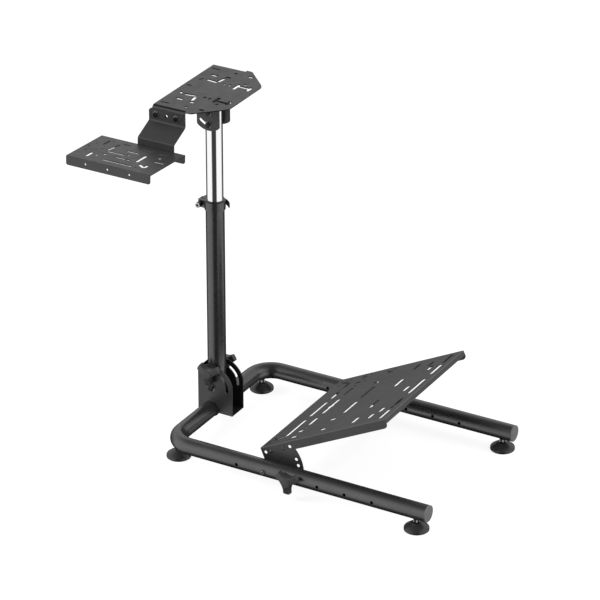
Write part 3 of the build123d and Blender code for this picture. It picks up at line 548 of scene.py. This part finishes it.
def knob_points(steps=168):
    """Rows climb the boss, round the back edge, climb the wall, round the front edge and cross the face.

    The face slopes down from the dome to the tips like a flat cone: its height falls in proportion to the
    distance beyond the dome's edge. The dome stands a step proud of it and is crowned by the square of the
    distance from the axis.
    """
    angle = np.linspace(0, 2 * np.pi, steps, endpoint=False)
    even = np.ones_like(angle)
    edge = knob_outline(angle)
    lip = knob_depth - dome_step - dome_crown
    pitch = arm_slope / (knob_tip - knob_dome)
    boss_height = np.array([0.0, 0.0004, 0.0015, 0.0042])[:, None] * even
    boss_radius = np.array([0.0098, 0.0108, 0.0111, 0.0118])[:, None] * even
    back = np.radians(np.linspace(0, 90, 5))[:, None]
    front = np.radians(np.linspace(0, 80, 7))[:, None]
    back_radius = edge - back_round * (1 - np.sin(back))
    back_height = knob_boss + back_round * (1 - np.cos(back)) * even
    brow = lip - pitch * np.maximum(edge - 0.0016 - knob_dome, 0.0)
    front_radius = edge - 0.0003 - front_round * (1 - np.cos(front))
    front_height = brow - front_round * (1 - np.sin(front))
    rim = front_radius[-1]
    start = np.minimum(knob_dome, 0.9 * rim)
    share = np.array([0.8, 0.5, 0.2, 0.0])[:, None]
    face_radius = start + (rim - start) * share
    face_height = lip - pitch * np.maximum(face_radius - knob_dome, 0.0)
    dome_share = np.array([0.98, 0.95, 0.9, 0.8, 0.55, 0.3, 0.1])[:, None]
    dome_radius = start * dome_share
    dome_rise = dome_step * np.array([0.4, 0.8, 1.0, 1.0, 1.0, 1.0, 1.0])[:, None]
    dome_height = lip + dome_rise + dome_crown * (1 - dome_share**2) * even
    radius = np.concatenate([boss_radius, back_radius, front_radius, face_radius, dome_radius])
    level = np.concatenate([boss_height, back_height, front_height, face_height, dome_height])
    return np.stack([radius * np.cos(angle), radius * np.sin(angle), level], axis=-1)


print("knob grid", knob_points().shape, "arm tip at", round(float(knob_outline(np.array([0.0]))[0]), 4))

# %% Place the four knobs
for name in ("mast_knob", "pedal_knob"):
    for side, way in sides.items():
        node = f"{name}_{side}"
        low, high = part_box(node)
        inner = low[1] if way > 0 else high[1]
        centre = ((low[0] + high[0]) / 2, inner, low[2] + knob_tip)
        star = stand_on(knob_points(), centre, (0, way, 0), across=(0, 0, -1))
        piece = build_piece(f"{node}_star", [shell(star)], sharp=28)
        dress(piece, knob_nylon, node)
        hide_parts(node)
print("four knobs in place")

# %% [markdown]
# ## Bolts, nuts and threads
#
# A real bolt head is a hexagon with its corners turned off in a cone, so its top edge waves from flat to
# corner. The end that sticks out of the nut shows its thread. A helix could be swept along the bolt, but a
# thread is also just a cylinder whose radius depends on height minus angle, and that is one formula.


# %% Hexagons and threads
def hexagon(flat, height, start=0.0, steps=72):
    """A chamfered hexagon: the distance to a side is flat over the cosine of the angle from its middle.

    The chamfer is a 30 degree cone, so the wall ends lower where the hexagon reaches further out.
    """
    angle = np.linspace(0, 2 * np.pi, steps, endpoint=False)
    corner = flat / np.cos((angle + np.pi / 6) % (np.pi / 3) - np.pi / 6)
    drop = (corner - 0.97 * flat) * np.tan(np.radians(30))
    even = np.ones_like(angle)
    middle_ring, turned_ring = 0.5 * flat * even, 0.97 * flat * even
    radius = np.stack([middle_ring, turned_ring, corner, corner, turned_ring, middle_ring])
    level = start + np.stack([0 * even, 0 * even, drop, height - drop, height * even, height * even])
    return np.stack([radius * np.cos(angle), radius * np.sin(angle), level], axis=-1)


def thread(radius, pitch, length, start=0.0, steps=28, per_turn=8):
    """A thread: a triangle wave of height over pitch minus angle, 0.55 of the pitch deep.

    Both ends taper off within 0.8 of the pitch.
    """
    angle = np.linspace(0, 2 * np.pi, steps, endpoint=False)[None, :]
    height = np.linspace(0, length, int(np.ceil(length / pitch * per_turn)) + 1)[:, None]
    phase = (height / pitch - angle / (2 * np.pi)) % 1.0
    crest = 1.0 - np.abs(2.0 * phase - 1.0)
    dip = radius - 0.55 * pitch * (1.0 - crest)
    taper = np.minimum(np.minimum(height, length - height) / (0.8 * pitch), 1.0)
    dip = dip - 0.5 * pitch * (1.0 - taper)
    return np.stack([dip * np.cos(angle), dip * np.sin(angle), start + height + 0 * angle], axis=-1)


def washer(inner, outer, thick, start=0.0):
    """A flat ring with rounded corners, as a closed loop of rows."""
    nick = 0.25 * thick
    radius = [inner, outer - nick, outer, outer, outer - nick, inner]
    height = [0.0, 0.0, nick, thick - nick, thick, thick]
    return turned(radius, np.array(height) + start)


def rim_wear_and_glint(points, reach=0.12, ends="pole"):
    """Painted wear and highlight: 1 at the greatest distance from the axis, 0 from reach of it inwards."""
    distance = np.hypot(points[..., 0], points[..., 1])
    worn = np.clip((distance / distance.max() - 1 + reach) / reach, 0, 1).ravel()
    return np.concatenate([worn, [0.0, 0.0]]) if ends == "pole" else worn


print("thread grid", thread(0.005, 0.0015, 0.02).shape)


# %% Bolts that replace the plain ones
# Half the width of a head and its height, as shares of the bolt's size
hex_flat = 0.85
hex_head = 0.65
# Size, pitch of the thread, and the body that it moves with
bolts = {
    "mast_pivot_bolt": (0.010, 0.0015, "base"),
    "head_pivot_bolt": (0.008, 0.00125, "post"),
    "head_lock_bolt": (0.008, 0.00125, "post"),
    "arm_bolt_rear": (0.008, 0.00125, "head"),
    "arm_bolt_front": (0.008, 0.00125, "head"),
    "shifter_bolt_rear": (0.008, 0.00125, "head"),
    "shifter_bolt_front": (0.008, 0.00125, "head"),
}
for node, (size, pitch, body) in bolts.items():
    out = (0.0, -1.0, 0.0)
    if node.startswith("shifter"):
        out = (0.0, -np.cos(shifter_roll), np.sin(shifter_roll))
    head = hex_head * size
    lean = (hex_flat + 0.5) * size * abs(out[2])
    whole = (extent(node)[1] - lean) / abs(out[1])
    shank = whole - head
    nut_at = shank - size
    face = middle(node) + np.array(out) * (whole / 2 - head)
    shells = [
        hexagon(hex_flat * size, head),
        washer(size / 2, 1.1 * size, 0.0012, start=0.0),
        turned([0.48 * size] * 2, [0.0, -nut_at]),
        hexagon(hex_flat * size, head, start=-nut_at - head),
        thread(size / 2, pitch, size - head + 0.001, start=-shank),
    ]
    placed = [stand_on(points, face, out) for points in shells]
    ends = ["pole", "loop", "pole", "pole", "pole"]
    # Rims painted bright, as wear and as a painted highlight.
    worn = np.concatenate([rim_wear_and_glint(points, 0.1, end) for points, end in zip(shells, ends)])
    joined = [shell(points, end) for points, end in zip(placed, ends)]
    piece = build_piece(f"{node}_detail", joined, sharp=35, worn=worn)
    dress(piece, black_bolt, body)
    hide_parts(node)
print("replaced", len(bolts), "bolts")

# %% [markdown]
# The pedal plate turns on two low, domed screws with a hexagon socket, and four small ones of the same kind
# hold its ears. The socket is what catches the eye: the dome round it is painted bright, as wear and as a
# painted highlight, and the inside is dark. One grid makes the head, its dome and the socket, because only
# the rows of the socket have to follow a hexagon.


# %% Domed screws with a hexagon socket
def domed_head(radius, height, socket, steps=72):
    """A domed head: a quarter ellipse from the rim to the socket, then the hexagon's wall and its floor.

    The socket's edge is socket over the cosine of the angle from the middle of a side.
    """
    angle = np.linspace(0, 2 * np.pi, steps, endpoint=False)
    even = np.ones_like(angle)
    hexagon_edge = socket / np.cos((angle + np.pi / 6) % (np.pi / 3) - np.pi / 6)
    top = np.arccos(min(1.35 * socket / radius, 1.0))
    climb = np.linspace(0, top, 8)[:, None]
    dome_radius = radius * np.cos(climb) * even
    dome_height = 0.22 * height + 0.78 * height * np.sin(climb) / np.sin(top) * even
    under = np.stack([0.5 * radius * even, 0.98 * radius * even])
    wall = np.stack([1.04 * hexagon_edge, hexagon_edge, hexagon_edge, 0.3 * hexagon_edge])
    wall_height = np.array([1.0, 0.94, 0.35, 0.3])[:, None] * height * even
    reach = np.concatenate([under, dome_radius, wall])
    level = np.concatenate([0 * under, dome_height, wall_height])
    return np.stack([reach * np.cos(angle), reach * np.sin(angle), level], axis=-1)


def domed_wear_and_glint(grid):
    """Painted bright, as wear and as a painted highlight, on the rim and round the socket's edge; dark under the
    head and inside the socket.
    """
    rows, columns, _ = grid.shape
    by_row = np.zeros(rows)
    by_row[2:5] = [1.0, 0.9, 0.5]
    by_row[9:12] = [0.5, 1.0, 0.7]
    return np.concatenate([np.repeat(by_row, columns), [0.0, 0.0]])


print("domed head grid", domed_head(0.005, 0.0025, 0.0015).shape)

# %% Place the domed screws
leg_width = 0.045
ear_gap = 0.0025
ear_sheet = 0.0015


def domed_screw(node, side, body, head, shank, nut, extra):
    """One screw with its nut.

    head is (radius, height, socket), shank the shank's radius and nut (flat, height, depth of its face).
    """
    low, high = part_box(node)
    way = sides[side]
    tip = high[1] if way > 0 else low[1]
    face = ((low[0] + high[0]) / 2, tip - way * head[1], (low[2] + high[2]) / 2)
    length = high[1] - low[1] - head[1]
    nut_end = nut[2] + nut[1]
    dome = domed_head(*head)
    parts = [
        (dome, "pole", domed_wear_and_glint(dome)),
        (turned([shank] * 2, [0.0, -nut[2]]), "pole", None),
        (hexagon(nut[0], nut[1], start=-nut_end), "pole", None),
        (thread(shank, 0.2 * shank + 0.0003, length - nut_end + 0.0005, start=-length), "pole", None),
    ]
    # Each point's painted brightness, as wear and as a painted highlight.
    shells, worn = [], []
    for points, end, wear in parts + extra:
        shells.append(shell(stand_on(points, face, (0, way, 0)), end))
        worn.append(rim_wear_and_glint(points, 0.1, end) if wear is None else wear)
    piece = build_piece(f"{node}_domed", shells, sharp=35, worn=np.concatenate(worn))
    dress(piece, black_bolt, body)
    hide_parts(node)


ear_head = (0.00475, 0.0025, 0.0016)
ear_nut = (0.0038, 0.004, ear_sheet)
pivot_head = (0.007, 0.0049, 0.0031)
pivot_nut = (0.0085, 0.0065, leg_width + ear_gap + ear_sheet + 0.0001)
spacer = washer(0.0044, 0.0099, ear_gap - 0.0002, start=-leg_width - ear_gap + 0.0001)
for side in sides:
    for place in ("low", "high"):
        domed_screw(f"pedal_screw_{place}_{side}", side, "pedals", ear_head, 0.0024, ear_nut, [])
    extra = [(spacer, "loop", None)]
    domed_screw(f"pedal_pivot_bolt_{side}", side, "base", pivot_head, 0.0043, pivot_nut, extra)
print("placed", 3 * len(sides), "domed screws")

# %% [markdown]
# ## Levelling feet
#
# Each foot is a rubber pad on a threaded stud, screwed into the tube and locked by a nut. The pad is a
# lathe shape, so its outline from the axis outwards is all that is needed: a flat sole with a hollow, a
# rounded rim with a groove where the rubber meets the plastic, and a slope up to a neck.

# %% Feet
stud_radius, stud_pitch = 0.005, 0.0015
lock_flat, lock_height = 0.0085, 0.008
lock_top = tube_z - leg_width / 2 - 0.0001
cone_top = (0.0146, 0.0206)
sole = [0.0240, 0.0250, 0.0300, 0.0318, 0.0328, 0.0330, 0.0330]
sole_height = [0.0016, 0.0004, 0.0, 0.0003, 0.0012, 0.0024, 0.0046]
groove = [0.0326, 0.0326, 0.0330, 0.0328, 0.0318, 0.0302]
groove_height = [0.0049, 0.0054, 0.0057, 0.0072, 0.0088, 0.0098]
slope = np.linspace(0, 1, 9)[1:]
cone = groove[-1] + (cone_top[0] - groove[-1]) * slope
cone_height = groove_height[-1] + (cone_top[1] - groove_height[-1]) * slope**0.86
neck = [0.0142, 0.0132, 0.0090, 0.0056]
neck_height = [0.0214, 0.0219, 0.0220, 0.0220]
pad_radius = np.concatenate([sole, groove, cone, neck])
pad_height = np.concatenate([sole_height, groove_height, cone_height, neck_height])
foot_ends = [(place, side) for place in ("front", "rear") for side in sides]
for place, side in foot_ends:
    pad_node, stem_node = f"foot_pad_{place}_{side}", f"foot_stem_{place}_{side}"
    centre = middle(pad_node)
    spot = (centre[0], centre[1], 0.0)
    rubber = turned(pad_radius, pad_height, 72) + np.array(spot)
    pad = build_piece(f"{pad_node}_rubber", [shell(rubber)], sharp=40)
    dress(pad, foot_rubber, "base")
    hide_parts(pad_node)
    stem_low, stem_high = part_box(stem_node)
    stud = thread(stud_radius, stud_pitch, stem_high[2] - stem_low[2], start=stem_low[2])
    nut = hexagon(lock_flat, lock_height, start=lock_top - lock_height)
    nut = stand_on(nut, (0, 0, 0), (0, 0, 1), across=(0, 1, 0))
    # The stud's and nut's rims painted bright, as wear and as a painted highlight.
    worn = np.concatenate([rim_wear_and_glint(stud, 0.06), rim_wear_and_glint(nut, 0.1)])
    both = [shell(stud + np.array(spot)), shell(nut + np.array(spot))]
    stem = build_piece(f"{stem_node}_stud", both, sharp=35, worn=worn)
    dress(stem, black_bolt, "base")
    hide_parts(stem_node)
print("four feet with studs and lock nuts")

# %% [markdown]
# ## Weld beads
#
# The crossbar passes through both cheeks of the mast bracket and is welded all round. A weld bead is a
# chain of small frozen pools. Here it is a ring whose thickness pulses as it goes round, and each pulse
# leans back a little, which is what the eye reads as a weld.


# %% Welds round the crossbar
def weld_ring(radius, bead, pools, steps=16):
    """A ring of that radius: the bead swells and shrinks with the pools, slanted by the angle round it."""
    along = np.linspace(0, 2 * np.pi, pools * 6, endpoint=False)[:, None]
    around = np.linspace(0, 2 * np.pi, steps, endpoint=False)[None, :]
    pool = np.abs(np.sin(pools * along / 2 + 0.5 * np.cos(around)))
    thick = bead * (0.82 + 0.18 * pool) * (1 + 0.05 * np.sin(5 * along + 1.0))
    reach = radius + thick * np.cos(around)
    return np.stack([reach * np.cos(along), reach * np.sin(along), thick * np.sin(around)], axis=-1)


weld_radius, weld_bead, weld_pools = 0.0229, 0.0019, 46
for side, way in sides.items():
    face = bracket_high[1] if way > 0 else bracket_low[1]
    ring = stand_on(weld_ring(weld_radius, weld_bead, weld_pools), (mast_x, face, tube_z), (0, way, 0))
    bead = build_piece(f"crossbar_weld_{side}", [shell(ring, "loop")])
    dress(bead, sheet_coat, "base")
print("two weld rings of", weld_pools, "pools")

# %% [markdown]
# ## Clamp lever and thumb nut
#
# The collar is squeezed by a quick-release skewer: a turned nut on one end, a cam with a curved blade on
# the other. The cam is a fork of two discs. The rod ends in a short pin between them, so nothing meets when
# the lever swings. The blade wraps round the mast and droops at its tip. It is an oval section carried along
# a curve, with a row of grip ribs that swell its outer side.

# %% The blade's path and section
cam_centre = np.array([joint["pos_m"] for joint in frame["joints"] if joint["name"] == "lever_swing"][0])
blade_stations = np.array([[-0.0355, 0.0262], [-0.0170, 0.0301], [0.0056, 0.0332], [0.0290, 0.0246]])
blade_height = 0.016
blade_thick = 0.005
droop_start = 0.004
droop_radius = 0.0521
rib_height = 0.00035
rib_count = 26
ribs_from, ribs_to = 0.62, 0.94


def blade_points(rows=90, steps=32):
    """A cubic in the parameter goes through the four stations, and past the bend the line drops on an arc.

    The section is a rounded oblong: cosine and sine raised to the power 0.6, thinner towards the tip. The
    ribs are the upper halves of a sine wave, rib_count waves over the whole blade.
    """
    t = np.linspace(0, 1, rows)
    knots = np.linspace(0, 1, 4)
    path = np.stack([np.polyval(np.polyfit(knots, blade_stations[:, i], 3), t) for i in range(2)], axis=-1)
    past = np.clip(path[:, 0] - droop_start, 0, None)
    drop = droop_radius - np.sqrt(droop_radius**2 - past**2)
    run = np.gradient(path, axis=0)
    run = run / np.linalg.norm(run, axis=1, keepdims=True)
    across = np.stack([-run[:, 1], run[:, 0]], axis=-1)
    around = np.linspace(0, 2 * np.pi, steps, endpoint=False)
    ease = np.minimum(1.0, np.sqrt(np.clip((1 - t) / 0.02, 0.1, 1)))
    ribs = rib_height * np.clip(np.sin(2 * np.pi * t * rib_count), 0, 1) * (t > ribs_from) * (t < ribs_to)
    half_thick = (0.5 * blade_thick * (1 - 0.15 * t) * ease)[:, None]
    half_height = (0.5 * blade_height * ease)[:, None]
    c, s = np.cos(around)[None, :], np.sin(around)[None, :]
    out = half_thick * np.sign(c) * np.abs(c) ** 0.6 + ribs[:, None] * (c > 0.5)
    rise = half_height * np.sign(s) * np.abs(s) ** 0.6
    spots = np.empty((rows, steps, 3))
    spots[..., 0] = path[:, :1] + across[:, :1] * out
    spots[..., 1] = path[:, 1:] + across[:, 1:] * out
    spots[..., 2] = rise - drop[:, None]
    return spots


mast_axis = np.array([mast_x, mast_y, 0.0])
blade = blade_points() + mast_axis + np.array([0, 0, cam_centre[2]])
disc_radius = [0.0084, 0.009, 0.009, 0.0086, 0.0078]
disc_height = [0.0034, 0.0037, 0.006, 0.0067, 0.007]
disc = turned(disc_radius, disc_height)
discs = [shell(disc * np.array([1, 1, way]) + cam_centre) for way in (1, -1)]
lever = build_piece("lever_blade", [shell(blade), *discs], sharp=40)
dress(lever, knob_nylon, "lever")
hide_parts("clamp_lever")
print("lever reaches", round(float(blade[..., 0].max() - mast_x), 4), "m past the mast's axis")


# %% Thumb nut on the skewer
def knurled_nut(radius, length, teeth=26, tooth_depth=0.00035, steps=208):
    """A turned nut: its wall ripples with the cosine of teeth times the angle, and is smooth at both ends.

    A countersunk hole in its end shows the end of the rod.
    """
    angle = np.linspace(0, 2 * np.pi, steps, endpoint=False)[None, :]
    height = np.array([0.0, 0.04, 0.11, 0.35, 0.8, 0.93, 0.985, 1.0, 1.0, 0.93, 0.9])[:, None] * length
    reach = radius * np.array([0.86, 0.95, 1.0, 1.0, 1.0, 0.98, 0.94, 0.86, 0.56, 0.46, 0.1])[:, None]
    grip = np.array([0, 0, 0.4, 1, 1, 0.4, 0, 0, 0, 0, 0])[:, None]
    reach = reach - tooth_depth * grip * (0.5 + 0.5 * np.cos(teeth * angle))
    return np.stack([reach * np.cos(angle), reach * np.sin(angle), height + 0 * angle], axis=-1)


nut_radius, nut_length = 0.0075, 0.015
rod_radius = 0.003
pivot_radius, pivot_reach = 0.0018, 0.0033
nut_face = (cam_centre[0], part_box("clamp_pin")[0][1] + nut_length, cam_centre[2])
nut = stand_on(knurled_nut(nut_radius, nut_length), nut_face, (0, -1, 0))
rod = turned([rod_radius] * 2, [-(cam_centre[1] - nut_face[1]), 0.0])
rod = stand_on(rod, nut_face, (0, -1, 0))
pivot = turned([pivot_radius] * 2, [-pivot_reach, pivot_reach]) + cam_centre
shells = [shell(nut), shell(rod), shell(pivot)]
# The nut painted bright round the rim of its end, as wear and as a painted highlight.
nut_wear_and_glint = np.repeat([0.0, 0.0, 0.1, 0.1, 0.1, 0.5, 1.0, 1.0, 0.9, 0.1, 0.0], nut.shape[1])
nut_wear_and_glint = np.concatenate([nut_wear_and_glint, np.zeros(sum(len(spots) for spots, _ in shells) - len(nut_wear_and_glint))])
thumb_nut = build_piece("skewer", shells, sharp=45, worn=nut_wear_and_glint)
dress(thumb_nut, black_bolt, "mast")
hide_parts("clamp_pin")
print("thumb nut", nut_length, "m long")

# %% [markdown]
# ## Floor, light and the studio tent
#
# Product pictures of black metal are lit by what the metal reflects. Here a plain world lights everything
# evenly, and a round tent, seen only in reflections, has two bright walls with dark gaps in front, behind
# and overhead. Those gaps draw the dark stripes along the tubes. The floor is white to the camera and keeps
# a little of the shadow.

# %% Floor
floor_half = 14.0
floor_glow = 0.84
corners = [(x * floor_half, y * floor_half, 0.0) for x, y in ((-1, -1), (1, -1), (1, 1), (-1, 1))]
floor_mesh = bpy.data.meshes.new("floor")
floor_mesh.from_pydata(corners, [], [(0, 1, 2, 3)])
floor = bpy.data.objects.new("floor", floor_mesh)
scene.collection.objects.link(floor)
floor_paint = bpy.data.materials.new("floor_white")
floor_paint.use_nodes = True
floor_shader = floor_paint.node_tree.nodes["Principled BSDF"]
floor_shader.inputs["Base Color"].default_value = (0.3, 0.3, 0.3, 1.0)
floor_shader.inputs["Roughness"].default_value = 0.9
floor_shader.inputs["Specular IOR Level"].default_value = 0.0
floor_shader.inputs["Emission Color"].default_value = (1.0, 1.0, 1.0, 1.0)
rays = floor_paint.node_tree.nodes.new("ShaderNodeLightPath")
seen = add_node(floor_paint, "ShaderNodeMath")
seen.operation = "MULTIPLY"
seen.inputs[1].default_value = floor_glow
wire(floor_paint, rays.outputs["Is Camera Ray"], seen.inputs[0])
wire(floor_paint, seen.outputs["Value"], floor_shader.inputs["Emission Strength"])
floor_mesh.materials.append(floor_paint)
floor.visible_glossy = False
floor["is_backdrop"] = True
print("floor is", 2 * floor_half, "m across")


# %% World and lamps
world_light = 0.54
world = bpy.data.worlds.new("studio")
scene.world = world
world.use_nodes = True
background = world.node_tree.nodes["Background"]
background.inputs["Color"].default_value = (1.0, 1.0, 1.0, 1.0)
world_rays = world.node_tree.nodes.new("ShaderNodeLightPath")
level = world.node_tree.nodes.new("ShaderNodeMapRange")
level.inputs["To Min"].default_value = world_light
level.inputs["To Max"].default_value = 1.0
wire(world, world_rays.outputs["Is Camera Ray"], level.inputs["Value"])
wire(world, level.outputs["Result"], background.inputs["Strength"])


def soft_lamp(name, place, target, size, power):
    """A square area lamp that faces a target and isn't mirrored in the chrome."""
    lamp_data = bpy.data.lights.new(name, "AREA")
    lamp_data.size = size
    lamp_data.energy = power
    lamp = bpy.data.objects.new(name, lamp_data)
    scene.collection.objects.link(lamp)
    aim = Vector(target) - Vector(place)
    lamp.matrix_world = Matrix.Translation(Vector(place)) @ aim.to_track_quat("-Z", "Y").to_matrix().to_4x4()
    lamp.visible_glossy = False
    return lamp


soft_lamp("side_lamp", (-2.6, -2.4, 2.6), (0.0, 0.0, 0.3), 1.2, 75.0)
soft_lamp("front_lamp", (3.0, 0.6, 2.0), (0.0, 0.0, 0.3), 2.2, 60.0)
print("world and two lamps set")


# %% How the tent glows
# Angles in degrees, then brightnesses
front_gap, wall_end, roof_start, pit_start = 25.0, 105.0, 38.0, 32.0
front_glow, low_back, high_back, roof_glow, pit_glow = 0.045, 0.05, 0.75, 0.2, 0.1
gap_shift, band_lift = -5.5, 0.22


def tent_glow(around, height):
    """How bright the tent is in a direction.

    around is the angle from the middle of the front gap in degrees, from 0 to 180, and height the angle
    above the horizon. Each wall rises from dark to bright over a few degrees and falls again towards the
    back. The back is dark below the horizon and brighter above it. Everything fades overhead and underfoot,
    and just above the horizon a band swells, as a bell curve of the height.
    """
    rise = np.clip((around - front_gap) / 9.0, 0, 1)
    back = low_back + (high_back - low_back) * np.clip((height + 10.0) / 32.0, 0, 1)
    fall = 1.0 - (1.0 - back) * np.clip((around - wall_end) / 14.0, 0, 1)
    front = front_glow + (1.0 - front_glow) * rise * rise * (3 - 2 * rise)
    roof = 1.0 - (1.0 - roof_glow) * np.clip((height - roof_start) / 25.0, 0, 1)
    pit = 1.0 - (1.0 - pit_glow) * np.clip((-height - pit_start) / 20.0, 0, 1)
    band = 1.0 + band_lift * np.exp(-(((height - 10.0) / 15.0) ** 2))
    return front * fall * roof * pit * band


print("wall", round(float(tent_glow(60.0, 0.0)), 3), "front", round(float(tent_glow(0.0, 0.0)), 3))

# %% Hang the tent
photographer = np.degrees(np.arctan2(camera_from_mast[1], camera_from_mast[0]))
turn_steps, rise_steps = 180, 91
azimuth = np.linspace(-180, 180, turn_steps, endpoint=False)
elevation = np.linspace(-89, 89, rise_steps)
e_grid, a_grid = np.meshgrid(np.radians(elevation), np.radians(azimuth), indexing="ij")
tent_radius = 13.0
tent_points = tent_radius * np.stack(
    [np.cos(e_grid) * np.cos(a_grid), np.cos(e_grid) * np.sin(a_grid), np.sin(e_grid)], axis=-1
)
tent = build_piece("studio_tent", [shell(tent_points)])
spots = corner_table(tent.data)
bearing = np.degrees(np.arctan2(spots[:, 1], spots[:, 0])) - photographer - gap_shift
bearing = np.abs((bearing + 180.0) % 360.0 - 180.0)
glow = tent_glow(bearing, np.degrees(np.arcsin(np.clip(spots[:, 2] / tent_radius, -1, 1))))
glow_data = tent.data.attributes.new("glow", "FLOAT", "POINT")
glow_data.data.foreach_set("value", glow)
tent_cloth = bpy.data.materials.new("tent_cloth")
tent_cloth.use_nodes = True
tent_nodes = tent_cloth.node_tree.nodes
tent_nodes.remove(tent_nodes["Principled BSDF"])
emission = tent_nodes.new("ShaderNodeEmission")
glow_reader = tent_nodes.new("ShaderNodeAttribute")
glow_reader.attribute_name = "glow"
wire(tent_cloth, glow_reader.outputs["Fac"], emission.inputs["Strength"])
wire(tent_cloth, emission.outputs["Emission"], tent_nodes["Material Output"].inputs["Surface"])
tent.data.materials.append(tent_cloth)
tent.visible_camera = False
tent.visible_diffuse = False
tent.visible_shadow = False
tent.visible_transmission = False
tent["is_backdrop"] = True
print("tent glows from", round(float(glow.min()), 3), "to", round(float(glow.max()), 3))

# %% Colour management and the size note
scene.view_settings.view_transform = "Standard"
low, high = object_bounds()
print("visual model spans", [round(b - a, 4) for a, b in zip(low, high)])
